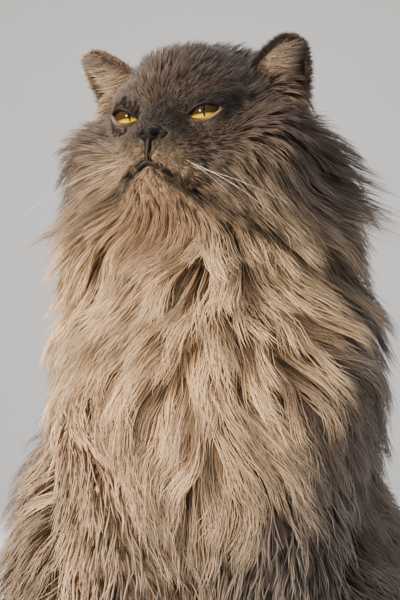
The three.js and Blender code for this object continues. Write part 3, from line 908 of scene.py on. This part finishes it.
def scatter(corners, uvs, normals, weights, count, rng):
    """Random points on triangles, by weight: points, normals and places on the unwrap."""
    chosen = rng.choice(len(weights), count, p=weights / weights.sum())
    a, b = rng.random(count), rng.random(count)
    flip = a + b > 1
    a[flip], b[flip] = 1 - a[flip], 1 - b[flip]
    bary = np.stack([1 - a - b, a, b], -1)[..., None]
    return (corners[chosen] * bary).sum(1), normals[chosen], (uvs[chosen] * bary).sum(1), chosen


def nearest(points, others, k=3):
    """For each point, the numbers of its nearest others."""
    tree = kdtree.KDTree(len(others))
    for i, p in enumerate(others):
        tree.insert(p, i)
    tree.balance()
    return np.array([[found[1] for found in tree.find_n(p, k)] for p in points])


def hair_size(p, normals, near_nodes, coat):
    """Length and width of the hair that grows at each point, and the kind of place it is."""
    kinds = np.array([node.split("_")[0] for node in NODES])
    kind = kinds[near_nodes.argmin(axis=1)]
    of_head = np.isin(kind, ["head", "jaw"])
    of_foot = np.isin(kind, ["hind", "forepaw"])
    tall = np.where(of_head, 1.25 * coat + 2.2, 1.7 * coat)
    tall = np.where(of_foot, 1.1 * coat + 2, tall)
    tall = tall * np.where(of_head, 0.42 + 0.58 * smooth(lip_distance(p)[0], 3, 13), 1)
    seen = smooth(-normals[:, 1], -0.35, 0.3)
    wide = np.interp(tall, [3, 10, 25, 55], [0.34, 0.42, 0.6, 0.78])
    tall = np.where(of_head, tall, np.minimum(tall, 14 + 0.6 * length(p - CHIN)))
    return np.clip(tall, 3, 58), wide * (1.5 - 0.6 * seen), kind, seen


REGIONS = ["face", "crown", "ruff", "chest", "flanks", "back", "haunches", "legs", "tail"]
REGION_STATIONS = {"ruff": 6, "chest": 6, "flanks": 5}
REACH = {"face": 0.15, "crown": 0.5, "ruff": 0.12, "chest": -0.08}
LAYERS = {"face": 5.6, "crown": 5, "ruff": 11.5, "chest": 11, "flanks": 8, "back": 7, "haunches": 5, "legs": 1.8}
LAYERS["tail"] = 5
BREADTH = {"crown": 1.1, "flanks": 1.2, "back": 1.4, "haunches": 1.6, "legs": 2.2, "tail": 1.6}
SWIRL = {"face": 0.14, "crown": 0.25}
TRIANGLES_EACH = 190000
GUIDE_STEPS = 8


def region_of(p, kind):
    """The number of the coat's region at each point."""
    out = np.zeros(len(p), int)
    q = carry(HEAD_BACK, p)
    out[kind == "head"] = np.where(q[kind == "head", 1] < -4, 0, 1)
    out[kind == "jaw"] = 0
    out[kind == "neck"] = 2
    trunk = kind == "torso"
    out[trunk] = np.where(p[trunk, 1] < -62, 3, np.where(p[trunk, 1] > 20, 5, 4))
    out[kind == "thigh"] = 6
    out[np.isin(kind, ["foreleg", "forepaw", "hind"])] = 7
    out[kind == "tail"] = 8
    return out


def by_region(table, regions, other=0.0):
    """A table's value at each point, by its region."""
    return np.array([table.get(name, other) for name in REGIONS])[regions]


def hairy(p, normals, d, coat):
    """Where hair grows: all over the body, but not under it, over the eyes, on the nose or between the lips."""
    on_body = np.abs(d - SKIN_SHARE * coat) < 3.5
    bottom = (p[:, 2] < 3) | ((normals[:, 2] < -0.8) & (p[:, 2] < 14))
    eyes = np.zeros(len(p), bool)
    for s in EYES:
        q = in_eye(s, p)
        eyes |= (almond(q) < 1.15) & (length(q) < 16) & (q[:, 1] < 0)
        on_body |= (length(q) < SOCKET) & (q[:, 1] < 2)
    nose = np.min([outside(mass, p) for mass in NOSE_MASSES], axis=0) < 0.9
    return on_body & ~bottom & ~eyes & ~nose & ~(lip_distance(p)[0] < 1.8)


def grow_coat(skin, settings):
    """Guide hairs over the whole skin, each carrying a tuft of finer ones that gather at their tips."""
    corners, areas, normals, uvs = triangles_of(skin)
    middles = corners.mean(axis=1)
    d, coat, near_nodes = field(middles)
    tall, wide, kind, seen = hair_size(middles, normals, near_nodes, coat)
    regions = region_of(middles, kind)
    room = hairy(middles, normals, d, coat) * areas
    wide = wide * by_region(BREADTH, regions, 1.0)
    cover = by_region(LAYERS, regions) * (0.5 + 0.5 * seen) * settings.density
    cover = cover * (0.4 + 0.6 * smooth(tall, 4, 16))
    density = room * cover / (0.6 * wide * tall)
    scale = 1.0
    rng = np.random.default_rng(71)
    total = int(density.sum() * scale)
    roots, root_normals, root_uv, chosen = scatter(corners, uvs, normals, density, total, rng)
    spacing = np.clip(settings.tuft * tall, 2.2, 10)
    guide_weight = room / spacing**2
    guides, guide_normals, _, _ = scatter(corners, uvs, normals, guide_weight, int(guide_weight.sum()), rng)
    guide_total = len(guides)
    _, gcoat, gnodes = field(guides)
    gtall, _, gkind, _ = hair_size(guides, guide_normals, gnodes, gcoat)
    sunk = guides - guide_normals * np.clip(0.06 * gtall, 0.2, 1.2)[:, None]
    gregion = region_of(guides, gkind)
    gtall = gtall * rng.uniform(0.8, 1.15, guide_total)
    swirl = by_region(SWIRL, gregion, 0.55)
    reach = rng.uniform(0.72, 1.1, guide_total) + by_region(REACH, gregion)
    q = carry(HEAD_BACK, guides)
    nape = smooth(q[:, 1], 0, 26)
    reach += np.where(gregion == 1, 0.45 * smooth(q[:, 0], 4, 24) * (1 - nape) - 0.3 * nape, 0)
    swirl = swirl + 0.7 * fade(length(guides - CHIN), 36)
    outwards = unit(guide_normals + outward(guides))
    points, ways, ups = march(sunk, outwards, gtall, settings.rise, swirl, reach, GUIDE_STEPS)
    found = nearest(roots, guides)
    agree = (root_normals[:, None] * guide_normals[found]).sum(-1)
    pick = found[np.arange(total), np.where(agree > 0.4, np.array([3, 2, 1]), 0).argmax(axis=1)]
    gap = length(roots - guides[pick])
    keep = (gap < np.maximum(gtall[pick] * 0.5, 6)) & ((root_normals * guide_normals[pick]).sum(-1) > 0.3)
    roots, root_normals, root_uv, pick, chosen = (a[keep] for a in (roots, root_normals, root_uv, pick, chosen))
    count = len(roots)
    alone, length_share = rng.random(count), rng.uniform(0.72, 1.08, count)
    tuft_tone = rng.random(guide_total)
    phase = rng.uniform(0, 2 * math.pi, guide_total)
    sides = np.cross(ways, ups)
    offset = roots - guides[pick]
    home = [(offset * axis[pick, 0]).sum(-1) for axis in (sides, ways, ups)]
    root_region = regions[chosen]
    hairs = dict(points=points, sides=sides, ways=ways, ups=ups, pick=pick, home=home, tall=gtall)
    hairs.update(alone=alone, share=length_share, tone=tuft_tone, phase=phase, marks=markings(roots), uv=root_uv)
    hairs.update(rng=rng, wide=wide[chosen], wave=settings.wave, gather=settings.gather)
    made = []
    for number, region in enumerate(REGIONS):
        mine = np.flatnonzero(root_region == number)
        stations = REGION_STATIONS.get(region, 4)
        each = 6 * (stations - 2) + 4
        pieces = max(1, math.ceil(len(mine) * each / TRIANGLES_EACH))
        order = mine[np.argsort(roots[mine, 0], kind="stable")]
        for piece, part in enumerate(np.array_split(order, pieces)):
            name = region if pieces == 1 else f"{region}_{piece + 1}"
            made.append(tuft_piece(name, part, stations, hairs))
    return made


def tuft_piece(name, part, stations, hairs):
    """One piece of the coat from the chosen hairs."""
    pick, alone = hairs["pick"][part], hairs["alone"][part]
    t = np.linspace(0, 1, stations) ** 0.85
    where = np.clip(t[None] * hairs["share"][part, None] * GUIDE_STEPS, 0, GUIDE_STEPS - 1e-3)
    low = where.astype(int)
    part_way = (where - low)[..., None]

    def along(array):
        return array[pick[:, None], low] * (1 - part_way) + array[pick[:, None], low + 1] * part_way

    path, side, way, up = (along(hairs[key]) for key in ("points", "sides", "ways", "ups"))
    tall = hairs["tall"][pick]
    far = t[None, :, None]
    gather = hairs["gather"] * (0.35 + 0.95 * alone**0.5) * smooth(tall, 10, 34)
    draw = 1 - gather[:, None, None] * smooth(far, 0.05, 1)
    a, b, c = (axis[part][:, None, None] for axis in hairs["home"])
    path = path + (side * a + way * b) * draw + up * c * (1 - far)
    waves = tall / 42
    swing = hairs["wave"] * smooth(tall, 12, 40) * (1.2 + 2.0 * hairs["tone"][pick])
    turn = hairs["phase"][pick][:, None] + 2 * math.pi * waves[:, None] * t[None] + alone[:, None] * 0.9
    path = path + side * (swing[:, None] * np.sin(turn) * t[None] ** 0.8)[..., None]
    path = path + up * (0.5 * swing[:, None] * np.cos(turn * 1.3) * t[None] ** 0.8)[..., None]
    stray = hairs["rng"].normal(size=(len(part), 2)) * np.minimum(tall * 0.09, 3.2)[:, None]
    path = path + (side * stray[:, 0, None, None] + up * np.abs(stray[:, 1, None, None]) * 0.7) * far**1.5
    path[..., 2] = np.maximum(path[..., 2], 0.9)
    taper = np.minimum(0.75 + 0.6 * t, 1) * (1 - t**2.2) + 0.06
    widths = hairs["wide"][part][:, None] * taper[None]
    tones = (alone, hairs["tone"][pick], hairs["marks"][part], hairs["uv"][part])
    return hair_mesh("coat_" + name, path, up, widths, np.tile(t, (len(part), 1)), *tones)


# The face

EYE_SPAN = 24.0  # millimetres across an eye's own map, which runs from 0 to 1


def build_eye(s, settings):
    """An eyeball with a raised cornea, an amber iris and a slit pupil."""
    obj = new_ball((0, 0, 0), 1, 96, 64)
    p = coords(obj) @ about("x", math.pi / 2).T
    bulge = CORNEA * np.maximum(-p[:, 1], 0) ** 8
    q = p * (EYE_RADIUS + bulge)[:, None]
    aim = Vector(GAZE).to_track_quat("Y", "Z").to_matrix()
    turn = np.array(aim) @ about("z", math.pi)
    put(obj, q @ turn.T + EYES[s][:3, 3])
    seen = np.ones((len(q), 4))
    seen[:, :2] = q[:, [0, 2]] / EYE_SPAN + 0.5
    give_point_data(obj, "seen", seen)
    return settle(obj, f"eyeball_{SIDES[s]}", eye_finish(settings), "eye", f"eye_{SIDES[s]}")


def eye_finish(settings):
    """Amber iris with radial fibres, a dark rim and a narrow upright pupil, under a wet coat; the iris's upper part is
    darkened with a painted shadow of the lid.
    """
    material, wire, shader = finish(
        "eye", Roughness=0.8, Coat_Weight=0.5, Coat_Roughness=0.02, Coat_IOR=1.35, Specular_IOR_Level=0.0
    )
    x, z = ((part - 0.5) * EYE_SPAN for part in wire.own("seen").parts()[:2])
    r = (x * x + z * z) ** 0.5
    angle = wire.math("ARCTAN2", z, x)
    spin = wire.node("ShaderNodeCombineXYZ", {0: wire.math("COSINE", angle), 1: wire.math("SINE", angle), 2: r * 0.05})
    fibre = wire.noise(16.0, 4.0, spin)
    tone = (r / 8.6 + (fibre - 0.5) * 0.35).clamp()
    stops = [
        (0.0, rgb(settings.iris_inner, 0.8)),
        (0.3, rgb(settings.iris_inner)),
        (0.72, rgb(settings.iris_outer)),
        (0.9, rgb(settings.iris_outer, 0.3)),
        (1.0, (0.01, 0.008, 0.006, 1)),
    ]
    iris = wire.node("ShaderNodeValToRGB", {0: tone}, stops=stops)
    wide, tall = x / 0.62, (z - 0.8) / 3.1
    slit = (wide * wide + tall * tall) ** 0.5
    pupil = ((1.12 - slit) * 6.0).clamp()
    # painted shadow of the upper lid: from a little below its middle upward, the iris turns almost black
    shade = ((z + 1.3) * 0.95).clamp() * 0.98
    colour = wire.mix(shade, iris, (0.02, 0.013, 0.005, 1))
    feed(wire, shader, Base_Color=wire.mix(pupil, colour, (0.004, 0.004, 0.004, 1)))
    return material


def rim_point(s, turn, grow, out):
    """A point round an eye's opening: the almond grown by some millimetres, at a distance from the eye's middle."""
    half = OPENING["width"] / 2 + grow
    c, k = np.cos(turn), np.sin(turn)
    tall = np.where(k > 0, OPENING["above"], OPENING["below"]) + grow
    x = half * c
    z = np.sign(k) * tall * (1 - c**2) ** (0.5 + 0.35 * np.exp(-grow / 2))
    x, z = x * math.cos(SLANT) - z * math.sin(SLANT), x * math.sin(SLANT) + z * math.cos(SLANT)
    y = -np.sqrt(np.maximum(out**2 - x**2 - z**2, 1))
    q = np.stack([x * s, y, z], -1)
    return carry(EYES[s], q)


LID_GROW = [-0.8, -0.5, -0.2, 0.1, 0.4, 0.8, 1.5, 2.4]
LID_RISE = [-0.4, 0.7, 1.25, 1.7, 2.0, 2.1, 1.9, 1.1]


def build_lids(s, settings):
    """Both lids of an eye, from the wet rim out under the short hair."""
    obj = new_grid(96, 20)
    p = coords(obj)
    rows = np.linspace(0, 1, len(LID_GROW))
    out = EYE_RADIUS + np.interp(p[:, 1], rows, LID_RISE)
    put(obj, rim_point(s, p[:, 0] * 2 * math.pi, np.interp(p[:, 1], rows, LID_GROW), out))
    apply(obj, "WELD", merge_threshold=0.00005)
    edit_all(obj, bpy.ops.mesh.normals_make_consistent, inside=False)
    p = coords(obj)
    q = in_eye(s, p)
    high = almond_height(q)
    pink = smooth(q[:, 0], -4, 5) * smooth(-high, 0, 1.6) * (0.9 if s > 0 else 0.5)
    give_point_data(obj, "marks", markings(p))
    give_point_data(obj, "rim", 1 - smooth(almond(q), 1.12, 1.42), "FLOAT")
    # painted shade: how far the upper lid, under the brow, is darkened
    give_point_data(obj, "upper", smooth(high, 0, 1.5), "FLOAT")
    give_point_data(obj, "pink", pink, "FLOAT")
    return settle(obj, f"lids_{SIDES[s]}", lid_finish(settings), "face_fur")


def lid_finish(settings):
    """Black wet rims that run out into dark short hair, the upper lid darkened further with painted shade of the brow.
    """
    material, wire, shader = finish("lids", Specular_IOR_Level=0.15)
    rim, upper, pink = (wire.own(name, 2) for name in ("rim", "upper", "pink"))
    fine = wire.noise(1500.0, 3.0)
    fur = coat_colour(wire, settings, fine * 0.5 + 0.1, fine, fine)
    # painted shade of the brow: the upper lid's hair darkens towards the dark colour round the eyes and nose
    fur = wire.mix((upper * 0.9).clamp(), fur, rgb(settings.mask, 0.5))
    wet = wire.mix((pink * 0.9).clamp(), (0.006, 0.005, 0.005, 1), (0.3, 0.19, 0.15, 1))
    colour = wire.mix(rim, fur, wet)
    bump = wire.bump(fine, 0.4, 0.0005)
    feed(wire, shader, Base_Color=colour, Roughness=0.7 - rim * 0.4, Normal=bump)
    return material


def build_nose(settings):
    """The nose leather with its nostrils and cleft."""
    obj = join(mass_meshes(NOSE_MASSES, 0, 32, 24), "nose_leather")
    apply(obj, "REMESH", mode="VOXEL", voxel_size=0.45 * MM)
    apply(obj, "SMOOTH", factor=0.5, iterations=4)
    middle = np.array([0, -42, -11.5])
    q = (carry(HEAD_BACK, coords(obj)) - middle) * (1.2, 1.12, 1.14) + middle
    for s in SIDES:
        hole = (q - (s * 3.6, -47.5, -10.2)) / (1.7, 4.0, 1.15)
        slot = (q - (s * 5.6, -46.5, -10.6)) / (2.4, 4.0, 0.6)
        q[:, 1] += 2.6 * fade(length(hole), 1, 2) + 1.2 * fade(length(slot), 1, 2)
    q[:, 1] += 0.8 * fade(q[:, 0], 0.5, 2) * smooth(-q[:, 2], 9, 12)
    put(obj, carry(HEAD, q))
    material, wire, shader = finish("nose leather", Coat_Weight=0.06, Coat_Roughness=0.3, Specular_IOR_Level=0.1)
    cells = wire.node("ShaderNodeTexVoronoi", {"Vector": wire.here(), "Scale": 1900.0})
    cloud = wire.noise(300.0, 3.0)
    colour = wire.mix(cloud, rgb(settings.nose, 0.6), rgb(settings.nose, 1.5))
    bump = wire.bump(cells, 0.5, 0.0004)
    feed(wire, shader, Base_Color=colour, Roughness=cells * 0.3 + 0.35, Normal=bump)
    return settle(obj, "nose_leather", material, "nose_leather", "nose")


def tube(name, points, radii, sides=8):
    """A tapering tube along a line of points."""
    curve = bpy.data.curves.new(name, "CURVE")
    curve.dimensions = "3D"
    curve.bevel_depth = 1.0 * MM
    curve.bevel_resolution = max(sides // 4 - 1, 0)
    curve.use_fill_caps = True
    spline = curve.splines.new("POLY")
    spline.points.add(len(points) - 1)
    for point, p, r in zip(spline.points, points, radii):
        point.co = (*(np.array(p) * MM), 1)
        point.radius = r
    only(add(name, curve))
    bpy.ops.object.convert(target="MESH")
    return bpy.context.object


def bent_line(points, count):
    """Points along a smooth curve through a few given ones."""
    given = np.array(points, float)
    at = np.concatenate([[0], np.cumsum(length(np.diff(given, axis=0)))])
    out = []
    for t in np.linspace(0, at[-1], count):
        k = min(np.searchsorted(at, t, side="right") - 1, len(given) - 2)
        p0, p1, p2, p3 = (given[np.clip(j, 0, len(given) - 1)] for j in (k - 1, k, k + 1, k + 2))
        f = (t - at[k]) / max(at[k + 1] - at[k], 1e-6)
        curve = 2 * p1 + (p2 - p0) * f + (2 * p0 - 5 * p1 + 4 * p2 - p3) * f**2
        out.append(0.5 * (curve + (3 * p1 - p0 - 3 * p2 + p3) * f**3))
    return np.array(out)


LIP_POINTS, CLEFT_POINTS = 40, 12
CLEFT_LINE = [(0, -45, -9), (0, -45.8, -13), (0, -47.3, -18), (0, -46.5, -24.5)]


def build_mouth():
    """The dark line where the lips meet, and the cleft over it."""
    line = bent_line(LIP_LINE, LIP_POINTS)
    lips = snap(carry(HEAD, line), 0.0, 3)
    lips = lips - outward(lips) * (1.2 * smooth(np.abs(line[:, 0]), 6, 14))[:, None]
    taper = np.sin(np.linspace(0.1, 0.9, LIP_POINTS) * math.pi) ** 0.9
    cleft = snap(carry(HEAD, bent_line(CLEFT_LINE, CLEFT_POINTS)), 0.4, 3)
    tubes = [tube("lips", lips, 1.4 * taper, 12), tube("cleft", cleft, np.linspace(1.7, 0.9, CLEFT_POINTS), 12)]
    obj = join(tubes, "lips")
    material, wire, shader = finish("lips", Specular_IOR_Level=0.2)
    cloud = wire.noise(700.0, 3.0)
    colour = wire.mix(cloud, (0.004, 0.0035, 0.0035, 1), (0.012, 0.009, 0.008, 1))
    feed(wire, shader, Base_Color=colour, Roughness=cloud * 0.3 + 0.4)
    return settle(obj, "lips", material, "face_fur")


# Each whisker's root, length and thickness
WHISKERS = [(13, -42, -20, 46, 0.055), (15, -40, -22.5, 64, 0.1), (16, -39, -25, 62, 0.06)]


def build_whiskers():
    """Long pale whiskers from the pads."""
    rng = np.random.default_rng(9)
    made = []
    for s in SIDES:
        for x, y, z, tall, thick in WHISKERS:
            root = np.array([s * x, y, z], float)
            way = unit(np.array([s * 0.9, -0.32 + rng.uniform(-0.08, 0.08), rng.uniform(-0.5, -0.15)]))
            bend = np.array([s * 0.1, 0.3, -0.7]) * rng.uniform(0.5, 1.0)
            line = [root - way * 2 + way * tall * t + bend * tall * 0.45 * t**2 for t in np.linspace(0, 1, 12)]
            made.append(tube("whisker", carry(HEAD, line), np.linspace(thick, 0.02, 12), 8))
    obj = join(made, "whiskers")
    material, wire, shader = finish("whisker", Roughness=0.35, Specular_IOR_Level=0.5)
    feed(wire, shader, Base_Color=wire.mix(wire.noise(80.0), (0.75, 0.72, 0.68, 1), (0.9, 0.88, 0.85, 1)))
    return settle(obj, "whiskers", material, "face_fur")


EAR_HAIRS, QUICK_EAR_HAIRS = 1150, 400
EAR_STATIONS = 4


def ear_hair():
    """Short hair on the back of each ear and along its edge, and long pale hair across its opening."""
    made = []
    count = EAR_HAIRS
    kinds = (
        ("back", count, 7.5, 0.95),
        ("edge", count, 7.5, 0.42),
        ("inner", count * 3 // 4, 27.0, 0.55),
        ("tip", count // 4, 13.0, 0.5),
    )
    far = np.linspace(0, 1, EAR_STATIONS)
    for s in EARS:
        rng = np.random.default_rng(40 + s)
        base, tall, rise, across, behind = ear_axes(s)
        up, side, back = (HEAD_TURN @ way for way in (rise, across, behind))
        for kind, number, long_, wide in kinds:
            t = rng.uniform(0.12, 1, number) ** 0.8 * 0.99
            a = rng.uniform(-1, 1, number)
            if kind == "edge":
                a = np.sign(a) * rng.uniform(0.9, 1.0, number)
            elif kind == "inner":
                a, t = s * rng.uniform(0.86, 1.0, number), rng.uniform(0.06, 0.86, number)
            elif kind == "tip":
                a, t = rng.uniform(-0.8, 0.8, number), rng.uniform(0.72, 0.96, number)
            root = ear_point(s, a, t, inset=1.2 if kind in ("inner", "tip") else 0.0)
            ahead = unit(ear_point(s, a * 0.98, np.minimum(t + 0.03, 1.0), along=1.0) - root)
            out = unit(root - carry(HEAD, base + rise * (t * tall)[:, None]))
            spread = (number, 3)
            if kind == "back":
                way, lift = ahead, 1.8
            elif kind == "edge":
                way, lift = unit(ahead + 0.6 * out - 0.4 * back + rng.normal(size=spread) * 0.35), 1.0
            elif kind == "tip":
                way, lift = unit(up * 0.7 - back * 0.6 - side * s * 0.35 + rng.normal(size=spread) * 0.16), 0.0
            else:
                way, lift = unit(unit(side * -s + up * 0.12 - back * 0.16) + rng.normal(size=spread) * 0.1), 0.0
                out = np.tile(-back, (number, 1))
            size = long_ * rng.uniform(0.6, 1.1, number) * (1 - 0.55 * t)
            path = root[:, None] - out[:, None] * 0.5 + way[:, None] * (size[:, None] * far)[..., None]
            path = path + out[:, None] * (lift * far**0.7)[None, :, None]
            if kind == "inner":
                path = path - back * (4 * far * (1 - far) * 2.0)[None, :, None]
                path = path + up * (5 * far**2)[None, :, None]
            widths = wide * (1 - far**2)[None] * rng.uniform(0.7, 1.1, number)[:, None] + 0.04
            marks = markings(root)
            tone = rng.random(number)
            if kind == "inner":
                marks[:] = (0.35, 0.5, 0.0, 0.0)
                marks[:, 0] += 0.6 * smooth(t, 0.45, 0.8)
                tone = 0.2 + 0.8 * tone
            elif kind == "tip":
                # painted shade: the tip hairs of the cat's left ear, away from the key light, are darker than the
                # right ear's
                marks[:] = (0.9, 0.4, 0.25, 0.0) if s > 0 else (0.6, 0.5, 0.0, 0.0)
            elif kind == "edge":
                # painted shade and light: the edge of the cat's left ear darkens towards its tip, and the edge of its
                # right ear, facing the key light, is paler
                marks[:, 0] *= 1 if s > 0 else 0.86
                marks[:, 2] = 0.55 * smooth(t, 0.1, 0.6) if s > 0 else 0
            uv = np.stack([0.9 + 0.05 * a, t * 0.9], -1)
            ups = np.tile(out[:, None], (1, EAR_STATIONS, 1))
            along = np.tile(0.35 + 0.65 * far, (number, 1))
            made.append(hair_mesh(f"ear_{kind}", path, ups, widths, along, rng.random(number), tone, marks, uv))
    return join(made, "coat_ears")


# The studio, in metres

CAMERA_AT, CAMERA_PITCH, CAMERA_ROLL = (0.003, -0.6, 0.164), 98.2, -3
LOOK_AT, BACKDROP_AT = (0, -0.03, 0.22), (0, 2.2, 0.6)


def build_stage(settings):
    """A pale floor that curves up behind, five soft lights and the camera."""
    only()
    bpy.ops.mesh.primitive_grid_add(x_subdivisions=2, y_subdivisions=60, size=1)
    floor = bpy.context.object
    p = coords(floor) * MM
    far = (p[:, 1] + 0.5) * 9.0
    bend = np.clip((far - 6.0) / 2.0, 0, 1) * math.pi / 2
    y = np.where(far < 6, far - 3.5, 2.5 + 1.27 * np.sin(bend))
    z = np.where(far < 6, 0, 1.27 * (1 - np.cos(bend))) + np.where(far > 8, (far - 8) * 3.5, 0)
    put(floor, np.stack([p[:, 0] * 12, y, z], -1) / MM)
    floor.name = "studio_floor"
    material, wire, shader = finish("studio floor", Roughness=0.85, Specular_IOR_Level=0.1)
    feed(wire, shader, Base_Color=wire.mix(wire.noise(3.0), rgb(settings.floor, 0.97), rgb(settings.floor)))
    floor.data.materials.append(material)
    bpy.ops.object.shade_smooth_by_angle(angle=math.pi)
    lights = [
        ("key", (-1.15, -0.85, 0.8), 0.28, settings.key, (1.0, 0.83, 0.64)),
        ("fill", (1.2, -1.2, 0.6), 1.2, settings.fill, (0.72, 0.82, 1.0)),
        ("front", (-0.35, -1.5, 0.35), 0.5, settings.front, (1.0, 0.86, 0.7)),
        ("backdrop", (0.0, 0.2, 1.9), 1.5, settings.backdrop, (1.0, 1.0, 1.0)),
        ("back", (0.5, 1.1, 1.1), 0.8, settings.back, (0.85, 0.9, 1.0)),
    ]
    for name, at, size, power, colour in lights:
        data = bpy.data.lights.new(name, "AREA")
        data.size, data.energy, data.color = size, power, colour
        light = add(name, data)
        light.location = at
        aim = Vector(BACKDROP_AT if name == "backdrop" else LOOK_AT)
        light.rotation_euler = (aim - Vector(at)).to_track_quat("-Z", "Y").to_euler()
    world = bpy.data.worlds.new("studio")
    world.use_nodes = True
    sky = world.node_tree.nodes["Background"].inputs
    sky[0].default_value, sky[1].default_value = (0.86, 0.9, 1.0, 1), settings.sky
    bpy.context.scene.world = world
    data = bpy.data.cameras.new("camera")
    data.lens, data.sensor_width = 60, 36
    data.clip_start, data.clip_end = 0.01, 50
    camera = add("camera", data)
    turn = Matrix.Rotation(math.radians(CAMERA_PITCH), 4, "X") @ Matrix.Rotation(math.radians(CAMERA_ROLL), 4, "Z")
    camera.matrix_world = Matrix.Translation(CAMERA_AT) @ turn
    bpy.context.scene.camera = camera


# The add-on


def number_property(name, description, default, **more):
    return FloatProperty(name=name, description=description, default=default, **more)


def power_property(name, description, default):
    return number_property(name, "Power of the " + description, default, unit="POWER")


def colour_property(name, description, default):
    return FloatVectorProperty(name=name, description=description, default=default, subtype="COLOR", min=0, max=1)


class CoatSettings(bpy.types.PropertyGroup):
    """How thick the coat is and how it lies"""

    density: number_property("Density", "How many hairs, 1 is the cat's own", 1.0)
    tuft: number_property("Tuft spacing", "Gap between tufts as a share of the hair's length", 0.17)
    rise: number_property("Rise", "How soon a hair climbs away from the skin", 1.5)
    wave: number_property("Wave", "How far long hair swings from side to side", 1.0)
    gather: number_property("Gather", "How far a tuft draws together at its tip", 0.62, subtype="FACTOR")


class ColourSettings(bpy.types.PropertyGroup):
    """The cat's colours"""

    warm_tip: colour_property("Front tips", "Hair tips on the chest and ruff", (1.0, 0.76, 0.49))
    # also the colour of the painted shade on the cat's left side of the front and low down
    cool_tip: colour_property("Side tips", "Hair tips on the flanks and back", (0.2, 0.176, 0.163))
    head_tip: colour_property("Head tips", "Hair tips on the head", (0.14, 0.107, 0.094))
    chin_tip: colour_property("Chin", "Rusty hair under the mouth", (0.27, 0.155, 0.09))
    # also the colour of the painted shade above the eyes, on the upper lids, on the cat's left ear and at the corners
    # of the mouth
    mask: colour_property("Face mask", "Hair round the eyes and nose", (0.017, 0.014, 0.013))
    root: colour_property("Undercoat", "Hair roots on the body", (0.07, 0.056, 0.048))
    warm_root: colour_property("Front undercoat", "Hair roots on the chest and ruff", (0.42, 0.27, 0.16))
    head_root: colour_property("Head undercoat", "Hair roots on the head", (0.035, 0.026, 0.022))
    ear_skin: colour_property("Ear skin", "Bare skin inside the ears", (0.2, 0.11, 0.078))
    iris_inner: colour_property("Iris by the pupil", "Yellow of the iris by the pupil", (0.5, 0.36, 0.004))
    iris_outer: colour_property("Iris rim", "Amber of the iris at its rim", (0.45, 0.27, 0.003))
    nose: colour_property("Nose", "Nose leather", (0.005, 0.0045, 0.005))


class StageSettings(bpy.types.PropertyGroup):
    """The studio round the cat"""

    key: power_property("Key light", "warm light from the left", 63.0)
    fill: power_property("Fill light", "cool light from the right", 1.7)
    front: power_property("Front light", "warm light in front", 4.0)
    backdrop: power_property("Backdrop light", "light on the backdrop", 60.0)
    back: power_property("Back light", "light from behind", 8.0)
    sky: number_property("Sky", "Strength of the light from all round", 0.42)
    floor: colour_property("Floor", "Colour of the floor", (0.82, 0.81, 0.79))


class SkinOperator(bpy.types.Operator):
    """Builds the one skin that covers the whole body"""

    bl_idname = "cat.build_skin"
    bl_label = "Skin"

    def execute(self, context):
        build_skin(context.scene.cat_colours)
        return {"FINISHED"}


class CoatOperator(bpy.types.Operator):
    """Grows the long coat in pieces, from the face to the tail"""

    bl_idname = "cat.grow_coat"
    bl_label = "Coat"

    def execute(self, context):
        hair = coat_finish(context.scene.cat_colours)
        pieces = grow_coat(bpy.data.objects["skin"], context.scene.cat_coat)
        ears = ear_hair()
        for piece in [*pieces, ears]:
            piece.data.materials.clear()
            piece.data.materials.append(hair)
            piece.data.polygons.foreach_set("use_smooth", np.ones(len(piece.data.polygons), bool))
            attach(piece, "root")
        return {"FINISHED"}


class EyesOperator(bpy.types.Operator):
    """Builds both eyes and their lids"""

    bl_idname = "cat.build_eyes"
    bl_label = "Eyes"

    def execute(self, context):
        for s in EYES:
            build_eye(s, context.scene.cat_colours)
            build_lids(s, context.scene.cat_colours)
        return {"FINISHED"}


class MuzzleOperator(bpy.types.Operator):
    """Builds the nose leather, the lips and the whiskers"""

    bl_idname = "cat.build_muzzle"
    bl_label = "Nose, lips and whiskers"

    def execute(self, context):
        build_nose(context.scene.cat_colours)
        build_mouth()
        build_whiskers()
        return {"FINISHED"}


class StageOperator(bpy.types.Operator):
    """Sets up the floor, the lights and the camera"""

    bl_idname = "cat.build_stage"
    bl_label = "Studio"

    def execute(self, context):
        build_stage(context.scene.cat_stage)
        return {"FINISHED"}


class CatPanel(bpy.types.Panel):
    """The steps of the build, in order"""

    bl_idname = "VIEW3D_PT_cat"
    bl_label = "Persian cat"
    bl_space_type = "VIEW_3D"
    bl_region_type = "UI"
    bl_category = "Cat"

    def draw(self, context):
        for operator in OPERATORS:
            self.layout.operator(operator.bl_idname)
        for group in (context.scene.cat_coat, context.scene.cat_colours, context.scene.cat_stage):
            for name in group.__annotations__:
                self.layout.prop(group, name)


OPERATORS = (SkinOperator, EyesOperator, MuzzleOperator, CoatOperator, StageOperator)
CLASSES = (CoatSettings, ColourSettings, StageSettings, *OPERATORS, CatPanel)


def register():
    for cls in CLASSES:
        bpy.utils.register_class(cls)
    bpy.types.Scene.cat_coat = PointerProperty(type=CoatSettings)
    bpy.types.Scene.cat_colours = PointerProperty(type=ColourSettings)
    bpy.types.Scene.cat_stage = PointerProperty(type=StageSettings)


def unregister():
    del bpy.types.Scene.cat_stage
    del bpy.types.Scene.cat_colours
    del bpy.types.Scene.cat_coat
    for cls in reversed(CLASSES):
        bpy.utils.unregister_class(cls)


def main():
    register()
    bpy.ops.cat.build_skin()
    bpy.ops.cat.build_eyes()
    bpy.ops.cat.build_muzzle()
    bpy.ops.cat.grow_coat()
    bpy.ops.cat.build_stage()


if __name__ == "__main__":
    main()
